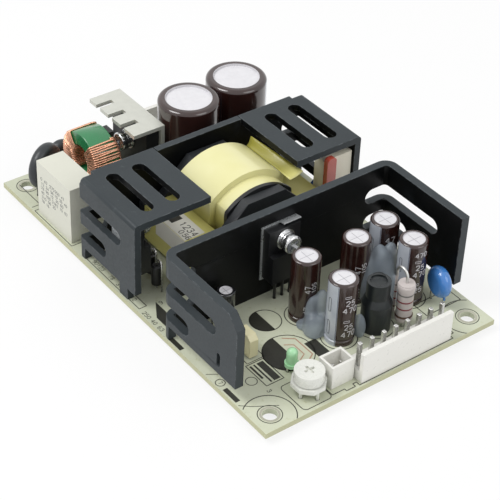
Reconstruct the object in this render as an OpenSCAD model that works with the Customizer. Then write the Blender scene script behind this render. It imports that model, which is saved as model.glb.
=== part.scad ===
// Open frame switching power supply on a single printed board.
// X runs along the board towards the output end, Y runs across it, Z points up.
// The origin is the centre of the four mounting holes, on the underside of the board.

/* [Board] */
// Length of the printed board
board_l = 127; // [118:1:160]
// Width of the printed board
board_w = 76.2; // [70:0.1:100]
// Thickness of the printed board
board_t = 1.6; // [1:0.1:2.4]
// Distance from each board edge to the mounting holes
hole_inset = 5.08; // [4.5:0.01:7]
// Diameter of the mounting holes
hole_d = 4; // [3:0.1:5]
// How far the trimmed leads stand out under the board
lead_out = 1.6; // [1:0.1:3]
// Clearance between a lead and its drilled hole, on each side
lead_gap = 0.15; // [0.05:0.05:0.3]
// Height of the solder fillets
solder_h = 1; // [0.5:0.1:1.4]

/* [Output heatsink] */
// Thickness of the output heatsink sheet
out_sheet = 2.5; // [1.5:0.1:3]
// Height of the output heatsink above the board
out_h = 26.5; // [22:0.5:40]
// Rear face of the output heatsink wall, from the output edge of the board
out_wall_in = 45.9; // [42:0.1:60]
// Inset of the near flap from the board edge
out_near_inset = 0.2; // [0:0.1:4]
// Inset of the far flap from the board edge
out_far_inset = 0.8; // [0:0.1:4]
// Length of the flaps, measured from the rear face of the wall
out_l = 32.7; // [24:0.1:36]
// Lift of the flaps over the board
out_lift = 4.5; // [2:0.1:6]

/* [Primary heatsink] */
// Thickness of the primary heatsink sheet
pri_sheet = 2; // [1.5:0.1:3]
// Height of the primary heatsink above the board
pri_h = 26.4; // [22:0.1:36]
// Gap between the primary heatsink and the output heatsink
pri_gap = 12.3; // [11:0.1:20]
// Depth of the primary heatsink from its front edges to its rear wall
pri_l = 27.5; // [27:0.1:34]
// Inset of the near side wall from the board edge
pri_near_inset = 0.5; // [0:0.1:5]
// Inset of the far side wall from the board edge
pri_far_inset = 0.1; // [0:0.1:5]
// Lift of the side walls over the board
pri_lift = 3.7; // [2:0.1:6]
// Length of the feet under the side walls
pri_foot = 3.8; // [2:0.1:8]
// Width of the near top flange
pri_near_flange = 24.1; // [18:0.1:28]
// Width of the far top flange
pri_far_flange = 22.6; // [18:0.1:26]

/* [Heatsink slots] */
// Height of the cooling slots
slot_w = 4.8; // [3:0.1:6]
// Height of the upper slots above the board
slot_hi = 17.6; // [15:0.1:19]
// Height of the lower slots above the board
slot_lo = 9; // [8:0.1:11]

/* [Transformer] */
// Overall width of the ferrite core
core_w = 44; // [38:0.5:50]
// Overall length of the ferrite core, along the winding
core_l = 28.8; // [26:0.1:29]
// Height of the outer legs
leg_h = 10.4; // [8:0.1:12]
// Width of each outer leg
leg_w = 9; // [6:0.1:11]
// Length of the winding window
window_l = 22.8; // [18:0.1:24]
// Width of the taped winding
coil_w = 25; // [20:0.5:25]
// Top of the taped winding above the board
coil_top = 24.8; // [22:0.1:25.6]
// Thickness of the insulating tape
tape_t = 0.3; // [0.1:0.05:0.6]

/* [Capacitors] */
// Diameter of the mains capacitors
bulk_d = 18; // [14:0.5:19]
// Height of the mains capacitors
bulk_h = 27; // [20:0.5:40]
// Diameter of the output capacitors
out_cap_d = 8; // [6:0.5:9]
// Height of the output capacitors
out_cap_h = 20; // [11:0.5:25]
// Length of the mains filter capacitor
x_cap_l = 17.6; // [12:0.1:19]
// Depth of the mains filter capacitor
x_cap_w = 8.6; // [6:0.1:9]
// Height of the mains filter capacitor
x_cap_h = 18; // [12:0.5:22]

/* [Mains choke] */
// Outer diameter of the toroid core
choke_d = 17.4; // [14:0.1:18]
// Hole diameter of the toroid core
choke_bore = 9.4; // [7:0.1:10]
// Axial thickness of the toroid core
choke_w = 7.8; // [6:0.1:8]
// Diameter of the winding wire
choke_wire = 0.9; // [0.5:0.1:1.2]

/* [Connectors and controls] */
// Pitch of the power headers
header_pitch = 3.96; // [3.5:0.01:5.08]
// Number of output header positions
header_count = 8; // [4:1:8]
// Height of the header wall above the board
header_h = 9.3; // [8:0.1:12]
// Diameter of the trimmer knob
knob_d = 7.9; // [6.5:0.1:8.6]

/* [Hidden] */
$fn = 64;
cut = 1; // how far a cutting tool runs past the face that it cuts
seat_gap = 0.1; // clearance between fitted pieces that don't move

// ---- Planes of the board ----
x_out = board_l / 2;
x_in = -board_l / 2;
y_near = -board_w / 2;
y_far = board_w / 2;
top = board_t;
hole_x = x_out - hole_inset;
hole_y = y_far - hole_inset;

// ---- Output heatsink planes ----
out_x = x_out - out_wall_in;
out_in_x = out_x + out_sheet;
out_y0 = y_near + out_near_inset;
out_y1 = y_far - out_far_inset;
out_top = top + out_h;
out_bend = out_sheet + 1.2;
out_chamfer = 3.5; // upper front corner of the near flap
out_wrap = 9.4; // how far a slot runs round the bend into the wall
out_hi_end = 24; // slot ends, from the rear face of the wall
out_lo_end = 12.6;
oval_x = 25.4; // small oval hole near the front of the near flap
oval_l = 4.2;
oval_w = 1.4;

// ---- Primary heatsink planes ----
pri_x1 = out_x - pri_gap;
pri_x0 = pri_x1 - pri_l;
pri_in_x = pri_x0 + pri_sheet;
pri_y0 = y_near + pri_near_inset;
pri_y1 = y_far - pri_far_inset;
pri_top = top + pri_h;
pri_bend = pri_sheet + 0.6;
pri_corner = 1.2; // outer radius of the rear corners
pri_fold = 1.2; // outer radius of the folds to the flanges
pri_flange_z = pri_top - pri_sheet;
pri_relief = 0.3; // gap between the flanges and the wall below them
pri_notch = 1.4; // the folds start this far in front of the rear face
pri_notch_w = 4.2;
pri_foot_x = 3.7; // front end of the feet, from the front edges
flange_slot_w = 4;
pri_slot_start = 4; // slots in the side walls and flanges, from the rear face
pri_slot_end = 3.8; // from the front edge
pri_hi_end = 6.7;
pri_lo_end = 14.1;
pri_wrap = 8;
flange_slot_out = 7.5; // slot centre lines, from the outer face of the side wall
flange_slot_pitch = 8.3;

// ---- Heatsink tabs that pass through the board ----
tab_w = 3;
tab_gap = 0.2;
// Each tab is [centre x, centre y, size along x, size along y]
out_tabs = [
    [out_x + out_sheet / 2, out_y0 + 14, out_sheet, tab_w],
    [out_x + out_sheet / 2, out_y1 - 14, out_sheet, tab_w]
];
pri_tabs = [
    [pri_x0 + pri_sheet / 2, pri_y0 + 16, pri_sheet, tab_w],
    [pri_x0 + pri_sheet / 2, pri_y1 - 20, pri_sheet, tab_w]
];

// ---- Transformer planes ----
tr_x = out_x - 8.6 - core_l / 2;
tr_y = 2.4;
core_lift = 2;
leg_z0 = top + core_lift;
leg_z1 = leg_z0 + leg_h;
yoke_t = (core_l - window_l) / 2;
yoke_top = top + 22.1;
yoke_flat = 12.4; // width of the flat on top of each yoke
yoke_foot = yoke_flat + 2 * (yoke_top - leg_z0 - leg_h); // its sides slope at 45 degrees
coil_z1 = top + coil_top;
coil_z0 = top + 3.4;
coil_mid_z = (coil_z0 + coil_z1) / 2;
coil_corner = 6; // radius of the lower corners
coil_crown = 17; // radius of the arched top
tape_step = 1.9; // the last turns of tape stand this far above the first
tape_cover = 0.78; // share of the winding that the last turns cover
centre_leg_d = 10;
tube_t = 1.2;
flange_t = 1.2;
rail_w = 31;
rail_l = 2.8;
rail_h = core_lift - tape_t - seat_gap;
pin_pitch = 5;
pins_per_rail = 6;
tr_pin_d = 0.9;
rail_x = core_l / 2 - rail_l - 0.2;

// ---- Places of the tall parts, [x, y] ----
bulk_at = [[x_in + 26.6, 8.8], [x_in + 24.7, 27.1]];
bulk_pitch = 7.5;
out_cap_at = [for (p = [[30.5, -2.8], [29.4, 13.2], [31.3, 24.5], [20.3, 25.1], [18, -0.6]])
    [x_out - p[0], p[1]]];
out_cap_pitch = 3.5;
x_cap_at = [x_in + 27.1, y_near + 5.4];
x_cap_pitch = 15;
choke_at = [x_in + 17, -17.9];
choke_span = 56; // each winding covers this angle above and below the middle
choke_turns = 11;
choke_turn_r = (choke_d + choke_wire) / 2;
small_cap_at = [x_out - 39.6, -21.7];
small_cap_d = 5;
small_cap_h = 11;
small_cap_pitch = 2;
inductor_at = [x_out - 16.2, 10.1];
inductor_d = 8.2;
inductor_top_d = 6.4; // the shrink tube narrows above the coil
inductor_coil_h = 8.5;
inductor_h = 15;
load_at = [x_out - 12.2, 16.2];
load_d = 4.9;
load_l = 12;
load_lift = 2.5;
load_back = 3.9;
blue_cap_at = [x_out - 14.1, 30.2];
varistor_at = [x_in + 10.9, y_near + 7.9];
thermistor_at = [x_in + 3.7, -20.6];
fuse_at = [x_in + 2.6, -7];
bridge_at = [x_in + 18.9, -1.7];
led_at = [x_out - 15.1, -18.6];
led_lift = 1.6;
film_cap_at = [pri_x1 - 2.8, pri_y1 - 7.4];
film_cap_size = [4, 10, 22];
y_cap_at = [pri_x1 - 6.9, pri_y1 - 7.6];

// ---- Connector places ----
out_hdr_x = x_out - 4.4;
out_hdr_y = 8.2;
in_hdr_x = x_in + 5;
in_hdr_y = 12;
header_w = 7.2;
header_base = 3.2;
header_wall = 1.3;
header_near = 1.6; // ends of the header, from the middles of its first and last posts
header_far = 1;
post_w = 1.14;
post_over = 1.1; // the output posts stand this far above the header wall
sig_hdr_l = 7.2;
sig_hdr_gap = 0.54; // between the two headers
sig_hdr_at = [x_out - 6.1, out_hdr_y - (header_count - 1) * header_pitch / 2 - header_near
    - sig_hdr_gap - sig_hdr_l / 2];
sig_pitch = 2.5;
trimmer_at = [x_out - 6.4, sig_hdr_at[1] - 8.6];
sig_post_w = 0.64;

// ---- Lead lists, each lead is [x, y, diameter] ----
function pair_y(p, pitch, d) = [for (s = [-1, 1]) [p[0], p[1] + s * pitch / 2, d]];
function pair_x(p, pitch, d) = [for (s = [-1, 1]) [p[0] + s * pitch / 2, p[1], d]];
function row_y(x, y, n, pitch, d) = [for (i = [0 : n - 1]) [x, y + (i - (n - 1) / 2) * pitch, d]];
function row_x(x, y, n, pitch, d) = [for (i = [0 : n - 1]) [x + (i - (n - 1) / 2) * pitch, y, d]];
function flat(lists) = [for (l = lists) for (e = l) e];

bulk_leads = flat([for (p = bulk_at) pair_y(p, bulk_pitch, 1)]);
out_cap_leads = flat([for (p = out_cap_at) pair_y(p, out_cap_pitch, 0.7)]);
x_cap_leads = pair_x(x_cap_at, x_cap_pitch, 0.8);
choke_lead_x = choke_turn_r * cos(choke_span);
choke_lead_y = (choke_w + choke_wire) / 2;
choke_leads = [for (sx = [-1, 1]) for (sy = [-1, 1])
    [choke_at[0] + sx * choke_lead_x, choke_at[1] + sy * choke_lead_y, choke_wire]];
small_cap_leads = pair_y(small_cap_at, small_cap_pitch, 0.6);
inductor_leads = pair_y(inductor_at, 4, 0.8);
load_leads = [[load_at[0], load_at[1], 0.8], [load_at[0] - load_back, load_at[1], 0.8]];
blue_cap_leads = pair_x(blue_cap_at, 5, 0.7);
varistor_leads = pair_y(varistor_at, 5, 0.9);
thermistor_leads = pair_y(thermistor_at, 5, 0.9);
fuse_leads = pair_y(fuse_at, 5, 0.7);
bridge_leads = row_x(bridge_at[0], bridge_at[1] - 3, 4, 3.8, 1);
led_leads = pair_y(led_at, 2.54, 0.6);
trimmer_leads = [for (p = [[0.8, -3.1], [0.8, 3.1], [3.7, 0]])
    [trimmer_at[0] + p[0], trimmer_at[1] + p[1], 0.9]];
film_cap_leads = pair_y(film_cap_at, 7.5, 0.7);
y_cap_leads = pair_y(y_cap_at, 5, 0.6);
out_hdr_leads = row_y(out_hdr_x, out_hdr_y, header_count, header_pitch, 1.62);
in_hdr_leads = row_y(in_hdr_x, in_hdr_y, 2, 2 * header_pitch, 1.62);
sig_hdr_leads = row_y(sig_hdr_at[0], sig_hdr_at[1], 2, sig_pitch, 0.9);
tr_leads = flat([for (s = [-1, 1])
    row_y(tr_x + s * (rail_x + rail_l / 2), tr_y, pins_per_rail, pin_pitch, tr_pin_d)]);

// ---- Transistor package ----
pkg_w = 10.2;
pkg_tab_t = 2.6;
pkg_t = 4.6;
pkg_body_h = 8.6;
pkg_tab_h = 15.8;
pkg_lead_x = 2.6;
pkg_lead_pitch = 2.54;
pkg_screw_z = 12.4;
pad_t = 0.3;
pad_margin = 0.6; // the pad shows this far past the package
pad_lip = 2.3; // corner of the output pad that curls forwards over the package
screw_d = 3;
washer_d = 6;
washer_t = 0.6;
spring_d = 5.2;
spring_t = 1.4;
head_d = 5.4;
head_h = 2;
head_round = 0.7;
fet_lift = 7.2;
rect_lift = 6.6;
fet_x = pri_x1 - 7.9;
rect_y = -2.2;
fet_leads = row_x(fet_x, pri_y0 + pri_sheet + pad_t + pkg_lead_x, 3, pkg_lead_pitch, 0.8);
rect_leads = row_y(out_in_x + pad_t + pkg_lead_x, rect_y, 3, pkg_lead_pitch, 0.8);

ceramic_at = [x_out - 27.2, -24];
ceramic_w = 6.6;
ceramic_t = 2.6;
ceramic_h = 6.6;
ceramic_cut = 1.3; // chamfer of its upper corners
ceramic_lift = 0.6;
ceramic_leads = pair_x(ceramic_at, 5, 0.6);

// ---- Red capacitor beside the film capacitor ----
red_cap_at = [pri_x1 + 0.2, pri_y1 - 10.9];
red_cap_size = [1.6, 3.2, 10];
red_cap_z = 13.4; // height of its lower end above the board
red_cap_leads = pair_y(red_cap_at, 2.5, 0.6);

LEADS = concat(bulk_leads, out_cap_leads, x_cap_leads, choke_leads, small_cap_leads, inductor_leads,
    load_leads, blue_cap_leads, varistor_leads, thermistor_leads, fuse_leads, bridge_leads, led_leads,
    trimmer_leads, film_cap_leads, red_cap_leads, y_cap_leads, out_hdr_leads, in_hdr_leads,
    sig_hdr_leads, tr_leads, fet_leads, rect_leads, ceramic_leads);

// ---- Shared shapes ----

// Leads from height z down to the trimmed ends under the board
module leads(list, z) {
    for (l = list) translate([l[0], l[1], -lead_out]) cylinder(d = l[2], h = z + lead_out, $fn = 24);
}

// Square posts from height z down to the trimmed ends
module posts(list, size, z) {
    for (l = list) translate([l[0] - size / 2, l[1] - size / 2, -lead_out]) cube([size, size, z + lead_out]);
}

// A slot outline with round ends, from x0 to x1, centred on y = 0
module slot_2d(x0, x1, w) {
    translate([x0 + w / 2, -w / 2]) square([x1 - x0 - w, w]);
    translate([x0 + w / 2, 0]) circle(d = w);
    translate([x1 - w / 2, 0]) circle(d = w);
}

// Tool for a slot along x in a wall that faces along y
module slot_tool_y(x0, x1, y0, y1, z, w) {
    translate([0, y1, z]) rotate([90, 0, 0]) linear_extrude(y1 - y0) slot_2d(x0, x1, w);
}

// Tool for a slot along y in a wall that faces along x
module slot_tool_x(y0, y1, x0, x1, z, w) {
    translate([x0, 0, z]) rotate([90, 0, 90]) linear_extrude(x1 - x0) slot_2d(y0, y1, w);
}

// Rectangle with round corners
module round_rect(l, w, r) {
    translate([r, 0]) square([l - 2 * r, w]);
    translate([0, r]) square([l, w - 2 * r]);
    for (x = [r, l - r]) for (y = [r, w - r]) translate([x, y]) circle(r);
}

// Plan of a sheet folded into a U that is open towards +x
module u_plan(x0, x1, y0, y1, t, r) {
    far = x1 + 4 * r;
    intersection() {
        difference() {
            translate([x0, y0]) round_rect(far - x0, y1 - y0, r);
            translate([x0 + t, y0 + t]) round_rect(far - x0, y1 - y0 - 2 * t, max(r - t, 0.3));
        }
        translate([x0 - cut, y0 - cut]) square([x1 - x0 + cut, y1 - y0 + 2 * cut]);
    }
}

// Section in y and z of a plate folded down along its -y edge
module l_section(y0, y1, z0, z1, t, r) {
    difference() {
        union() {
            translate([y0 + r, z0]) square([y1 - y0 - r, z1 - z0]);
            translate([y0, z0]) square([r + cut, z1 - z0 - r]);
            translate([y0 + r, z1 - r]) circle(r);
        }
        translate([y0 + t, z0 - cut]) square([y1 - y0, z1 - z0 - t + cut]);
    }
}

// Electrolytic capacitor: sleeved can with a rolled groove and a recessed top
module can(d, h, rim) {
    r = d / 2;
    edge = 0.07 * d;
    groove = 0.06 * d;
    rotate_extrude() difference() {
        union() {
            square([r - edge, h]);
            square([r, h - edge]);
            translate([r - edge, h - edge]) circle(edge, $fn = 32);
        }
        translate([r + groove / 3, 0.11 * d + 1]) circle(groove, $fn = 32);
        translate([-cut, h - 0.04 * d]) square([r - rim + cut, d]);
    }
}

// Outline of a slab with its upper corners cut off
module slab_2d(w, h, c) {
    polygon([[-w / 2, 0], [w / 2, 0], [w / 2, h - c], [w / 2 - c, h], [c - w / 2, h], [-w / 2, h - c]]);
}

// Dipped disc with a round rim, standing in the plane x = 0
module disc(d, t) {
    rotate([0, 90, 0]) rotate_extrude() {
        translate([0, -t / 2]) square([d / 2 - t / 2, t]);
        intersection() {
            translate([d / 2 - t / 2, 0]) circle(t / 2, $fn = 32);
            translate([0, -t]) square([d, 2 * t]);
        }
    }
}

// Transistor package: back at x = 0, body towards +x, lower edge of the body at z = 0
module package() {
    difference() {
        union() {
            translate([0, -pkg_w / 2, 0]) cube([pkg_tab_t, pkg_w, pkg_tab_h]);
            translate([0, -pkg_w / 2, 0]) cube([pkg_t, pkg_w, pkg_body_h]);
        }
        translate([-cut, 0, pkg_screw_z]) rotate([0, 90, 0]) cylinder(d = 3.6, h = pkg_tab_t + 2 * cut);
    }
}

// Three package leads that reach down from the body at height z
module package_leads(list, z) {
    leads(list, z + 1);
}

// Screw with a cross recess, a flat washer and a spring washer, seated at x = 0, shank towards -x
module pan_screw(shank_l) {
    z0 = washer_t + spring_t;
    difference() {
        rotate([0, 90, 0]) rotate_extrude() {
            translate([0, -shank_l]) square([screw_d / 2 - seat_gap / 2, shank_l + z0 + 1]);
            square([washer_d / 2, washer_t]);
            for (i = [0, 1]) translate([0, washer_t + i * spring_t / 2])
                square([spring_d / 2, spring_t / 2 - 0.1]);
            translate([0, z0]) square([head_d / 2, head_h - head_round]);
            square([head_d / 2 - head_round, z0 + head_h]);
            intersection() {
                translate([head_d / 2 - head_round, z0 + head_h - head_round]) circle(head_round, $fn = 32);
                translate([0, z0]) square([head_d, head_h]);
            }
        }
        for (a = [45, 135]) rotate([a, 0, 0]) translate([z0 + head_h - 1, -head_d * 0.32, -0.4])
            cube([2, head_d * 0.64, 0.8]);
    }
}

// ---- Board ----

module circuit_board() {
    color("#d9dcc4") difference() {
        translate([x_in, y_near, 0]) cube([board_l, board_w, board_t]);
        for (x = [-hole_x, hole_x]) for (y = [-hole_y, hole_y])
            translate([x, y, -cut]) cylinder(d = hole_d, h = board_t + 2 * cut);
        for (l = LEADS) translate([l[0], l[1], -cut])
            cylinder(d = l[2] + 2 * lead_gap, h = board_t + 2 * cut, $fn = 24);
        for (t = concat(out_tabs, pri_tabs))
            translate([t[0] - t[2] / 2 - tab_gap, t[1] - t[3] / 2 - tab_gap, -cut])
                cube([t[2] + 2 * tab_gap, t[3] + 2 * tab_gap, board_t + 2 * cut]);
    }
}

module solder_joints() {
    color("silver") for (l = LEADS) translate([l[0], l[1], -solder_h]) difference() {
        cylinder(d1 = l[2] + 0.4, d2 = l[2] + 1.3, h = solder_h, $fn = 24);
        translate([0, 0, -cut]) cylinder(d = l[2], h = solder_h + 2 * cut, $fn = 24);
    }
}

// ---- Heatsinks ----

module tabs(list) {
    for (t = list) translate([t[0] - t[2] / 2, t[1] - t[3] / 2, -lead_out])
        cube([t[2], t[3], top + lead_out + cut]);
}

module output_heatsink() {
    far_cut = out_x + out_l;
    color("#33373b") difference() {
        union() {
            translate([0, 0, top]) linear_extrude(out_h)
                u_plan(out_x, far_cut, out_y0, out_y1, out_sheet, out_bend);
            tabs(out_tabs);
        }
        // Upper front corner of the near flap
        translate([far_cut, out_y0 - cut, out_top]) rotate([0, -45, 0])
            translate([-out_chamfer / sqrt(2), 0, -out_l / 2])
            cube([out_l, out_sheet + 2 * cut, out_l]);
        // Both flaps stand clear of the board
        for (y = [out_y0 - cut, out_y1 - out_sheet - cut]) translate([out_x + out_bend, y, top - cut])
            cube([out_l, out_sheet + 2 * cut, out_lift + cut]);
        u_slots(out_x, out_y0, out_y1, out_bend, out_wrap, out_x + out_hi_end, out_x + out_lo_end);
        translate([out_x + oval_x, out_y0 + out_sheet + cut, top + slot_lo]) rotate([90, 0, 0])
            linear_extrude(out_sheet + 2 * cut) rotate(90) slot_2d(-oval_l / 2, oval_l / 2, oval_w);
    }
}

// Two slots that run from the side walls round both rear bends of a folded sheet
module u_slots(x0, y0, y1, bend, wrap, hi_end, lo_end) {
    for (s = [[top + slot_hi, hi_end], [top + slot_lo, lo_end]]) {
        slot_tool_y(x0 - cut, s[1], y0 - cut, y0 + bend, s[0], slot_w);
        slot_tool_y(x0 - cut, s[1], y1 - bend, y1 + cut, s[0], slot_w);
        slot_tool_x(y0 - cut, y0 + wrap, x0 - cut, x0 + bend, s[0], slot_w);
        slot_tool_x(y1 - wrap, y1 + cut, x0 - cut, x0 + bend, s[0], slot_w);
    }
}

module flange(y0, y1) {
    x0 = pri_x0 + pri_notch;
    translate([x0, 0, 0]) rotate([90, 0, 90]) linear_extrude(pri_x1 - x0)
        l_section(y0, y1, pri_top - pri_bend, pri_top, pri_sheet, pri_fold);
    translate([pri_x0, y0 + pri_notch_w, pri_flange_z])
        cube([pri_notch + cut, y1 - y0 - pri_notch_w, pri_sheet]);
}

module primary_heatsink() {
    mid_y0 = pri_y0 + pri_near_flange + pri_relief;
    mid_y1 = pri_y1 - pri_far_flange - pri_relief;
    foot_x1 = pri_x1 - pri_foot_x;
    color("#33373b") difference() {
        union() {
            translate([0, 0, top]) linear_extrude(pri_h - pri_sheet - pri_relief)
                u_plan(pri_x0, pri_x1, pri_y0, pri_y1, pri_sheet, pri_corner);
            translate([pri_x0, mid_y0, top]) cube([pri_sheet, mid_y1 - mid_y0, pri_h]);
            flange(pri_y0, pri_y0 + pri_near_flange);
            mirror([0, 1, 0]) flange(-pri_y1, -pri_y1 + pri_far_flange);
            tabs(pri_tabs);
        }
        // The side walls stand on the board only at their feet
        for (y = [pri_y0 - cut, pri_y1 - pri_sheet - cut]) {
            translate([pri_x0 + pri_bend, y, top - cut])
                cube([foot_x1 - pri_foot - pri_x0 - pri_bend, pri_sheet + 2 * cut, pri_lift + cut]);
            translate([foot_x1, y, top - cut]) cube([pri_foot_x + cut, pri_sheet + 2 * cut, pri_lift + cut]);
        }
        u_slots(pri_x0, pri_y0, pri_y1, pri_bend, pri_wrap, pri_x1 - pri_hi_end, pri_x1 - pri_lo_end);
        flange_slots();
    }
}

module flange_slots() {
    for (i = [0, 1]) for (y = [pri_y0 + flange_slot_out + i * flange_slot_pitch,
            pri_y1 - flange_slot_out + 0.7 - i * flange_slot_pitch])
        translate([0, y, pri_flange_z - cut]) linear_extrude(pri_sheet + 2 * cut)
            slot_2d(pri_x0 + pri_slot_start, pri_x1 - pri_slot_end, flange_slot_w);
}

// ---- Transformer ----

module yoke_profile() {
    h = yoke_top - leg_z0;
    polygon([[-core_w / 2, 0], [core_w / 2, 0], [core_w / 2, leg_h], [yoke_foot / 2, leg_h],
        [yoke_flat / 2, h], [-yoke_flat / 2, h], [-yoke_foot / 2, leg_h], [-core_w / 2, leg_h]]);
}

// One half of the core, its mating faces at x = 0 and its yoke towards +x
module core_half() {
    gap = 0.05;
    translate([window_l / 2, 0, leg_z0]) rotate([90, 0, 90]) linear_extrude(yoke_t) yoke_profile();
    for (s = [-1, 1])
        translate([gap, s * (core_w - leg_w) / 2 - leg_w / 2, leg_z0]) cube([window_l / 2, leg_w, leg_h]);
    translate([gap, 0, coil_mid_z]) rotate([0, 90, 0]) cylinder(d = centre_leg_d, h = window_l / 2);
}

module transformer_core() {
    color("#3a3c3e") translate([tr_x, tr_y, 0]) {
        core_half();
        mirror([1, 0, 0]) core_half();
    }
}

module transformer_bobbin() {
    tube_d = centre_leg_d + 2 * (tube_t + seat_gap);
    inner = window_l / 2 - seat_gap;
    flange_inset = tape_step - 0.4;
    color("#2b2b28") translate([tr_x, tr_y, 0]) difference() {
        union() {
            translate([-inner, 0, coil_mid_z]) rotate([0, 90, 0]) cylinder(d = tube_d, h = 2 * inner);
            for (s = [-1, 1]) {
                translate([s * (inner - flange_t / 2) - flange_t / 2, 0, coil_mid_z]) rotate([90, 0, 90])
                    linear_extrude(flange_t) coil_profile(flange_inset);
                translate([s * (inner - flange_t / 2) - flange_t / 2, -coil_w / 4, top])
                    cube([flange_t, coil_w / 2, coil_z0 - top + coil_corner]);
                translate([s * (inner + rail_x + rail_l - flange_t) / 2 - (rail_x + rail_l - inner + flange_t) / 2,
                    -rail_w / 2, top])
                    cube([rail_x + rail_l - inner + flange_t, rail_w, rail_h]);
            }
        }
        translate([-inner - cut, 0, coil_mid_z]) rotate([0, 90, 0])
            cylinder(d = centre_leg_d + 2 * seat_gap, h = 2 * (inner + cut));
        translate([-tr_x, -tr_y, 0]) for (l = tr_leads) translate([l[0], l[1], 0])
            cylinder(d = l[2], h = top + rail_h - 0.4, $fn = 24);
    }
}

// Section of the taped winding: round lower corners under an arched top
module coil_profile(inset) {
    w = coil_w - 2 * inset;
    h = coil_z1 - coil_z0 - 2 * inset;
    r = coil_crown - inset;
    intersection() {
        translate([-w / 2, -h / 2]) round_rect(w, h, coil_corner);
        translate([0, h / 2 - r]) circle(r, $fn = 128);
    }
}

module transformer_winding() {
    l = window_l - 2 * flange_t - 4 * seat_gap;
    tube_d = centre_leg_d + 2 * (tube_t + 2 * seat_gap);
    color("#eeeab8") translate([tr_x, tr_y, coil_mid_z]) rotate([90, 0, 90]) difference() {
        union() {
            translate([0, 0, -l / 2]) linear_extrude(l) coil_profile(tape_step);
            translate([0, 0, -l / 2]) linear_extrude(tape_cover * l) coil_profile(0);
        }
        translate([0, 0, -l / 2 - cut]) cylinder(d = tube_d, h = l + 2 * cut);
    }
}

// A closed band of tape round each outer leg
module transformer_tape() {
    w = leg_w + 2 * tape_t;
    h = leg_h + 2 * tape_t;
    l = window_l - 2 * seat_gap;
    color("#e4e09a") for (s = [-1, 1])
        translate([tr_x - l / 2, tr_y + s * (core_w - leg_w) / 2, leg_z0 + leg_h / 2]) difference() {
            translate([0, -w / 2, -h / 2]) cube([l, w, h]);
            translate([-cut, -leg_w / 2, -leg_h / 2]) cube([l + 2 * cut, leg_w, leg_h]);
        }
}

module transformer_pins() {
    color("silver") leads(tr_leads, top + rail_h - 0.4);
}

// ---- Mains side ----

module mains_capacitor(i) {
    p = bulk_at[i];
    color("#3b2522") {
        translate([p[0], p[1], top]) can(bulk_d, bulk_h, 2.2);
        leads([bulk_leads[2 * i], bulk_leads[2 * i + 1]], top + 1);
    }
}

module mains_capacitor_a() mains_capacitor(0);

module mains_capacitor_b() mains_capacitor(1);

module mains_filter_capacitor() {
    color("#e3e3d8") {
        translate([x_cap_at[0] - x_cap_l / 2, x_cap_at[1] - x_cap_w / 2, top])
            cube([x_cap_l, x_cap_w, x_cap_h]);
        leads(x_cap_leads, top + 1);
    }
}

choke_z = top + 1.8 + choke_d / 2 + choke_wire;

module choke_ring(r0, r1, w) {
    translate([choke_at[0], choke_at[1], choke_z]) rotate([90, 0, 0]) rotate_extrude()
        translate([r0, -w / 2]) square([r1 - r0, w]);
}

module choke_core() {
    color("#2f8f57") choke_ring(choke_bore / 2, choke_d / 2, choke_w);
}

// One layer of wire round the core, centred on the side at angle a
module choke_winding(a) {
    g = 0.05; // the wire's enamel stands this far off the core
    step = 2 * choke_span / (choke_turns - 1);
    side = a < 90 ? 2 : 0;
    color("#c87f4a") {
        for (i = [0 : choke_turns - 1]) translate([choke_at[0], choke_at[1], choke_z])
            rotate([0, choke_span - a - i * step, 0])
                turn(choke_bore / 2 - g, choke_d / 2 + g, choke_w + 2 * g, choke_wire);
        leads([choke_leads[side], choke_leads[side + 1]],
            choke_z - choke_turn_r * sin(choke_span) + choke_wire / 2);
    }
}

// One turn: a rectangular loop of round wire about a section of the core
module turn(r0, r1, h, w) {
    for (y = [-1, 1]) translate([r0 - w, y * (h + w) / 2, 0]) rotate([0, 90, 0])
        cylinder(d = w, h = r1 - r0 + 2 * w, $fn = 16);
    for (x = [r0 - w / 2, r1 + w / 2]) translate([x, (h + 2 * w) / 2, 0]) rotate([90, 0, 0])
        cylinder(d = w, h = h + 2 * w, $fn = 16);
}

module choke_winding_rear() choke_winding(180);

module choke_winding_front() choke_winding(0);

module choke_base() {
    t = 1.8 - seat_gap;
    rib = choke_z - choke_d / 2 - seat_gap;
    color("#1d1d1d") difference() {
        union() {
            translate([choke_at[0] - 8, choke_at[1] - 7, top]) cube([16, 14, t]);
            translate([choke_at[0] - 2, choke_at[1] - 4, top]) cube([4, 8, rib - top]);
        }
        for (l = choke_leads) translate([l[0], l[1], 0])
            cylinder(d = l[2] + 2 * lead_gap, h = top + t + cut, $fn = 24);
    }
}

module varistor() {
    color("#2a2c2e") {
        translate([varistor_at[0], varistor_at[1], top + 9.4]) rotate([0, 0, 26]) disc(13.7, 4);
        leads(varistor_leads, top + 5);
    }
}

module thermistor() {
    color("#2e2724") {
        translate([thermistor_at[0], thermistor_at[1], top + 6.4]) disc(8, 4);
        leads(thermistor_leads, top + 5);
    }
}

module fuse() {
    color("#30312f") {
        translate([fuse_at[0] - 2, fuse_at[1] - 4.2, top]) cube([4, 8.4, 7.6]);
        leads(fuse_leads, top + 1);
    }
}

bridge_w = 17.6;
bridge_t = 4.2;
bridge_h = 17;
bridge_lift = 3;
bridge_screw_z = top + 14.6;
bridge_sink_t = 1.2;
bridge_sink_x0 = bridge_at[0] - 13.4;
bridge_sink_x1 = bridge_at[0] + 10;
bridge_sink_y = bridge_at[1] + 0.1;
bridge_sink_w = 10.4;
bridge_sink_top = top + 22.4;

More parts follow.
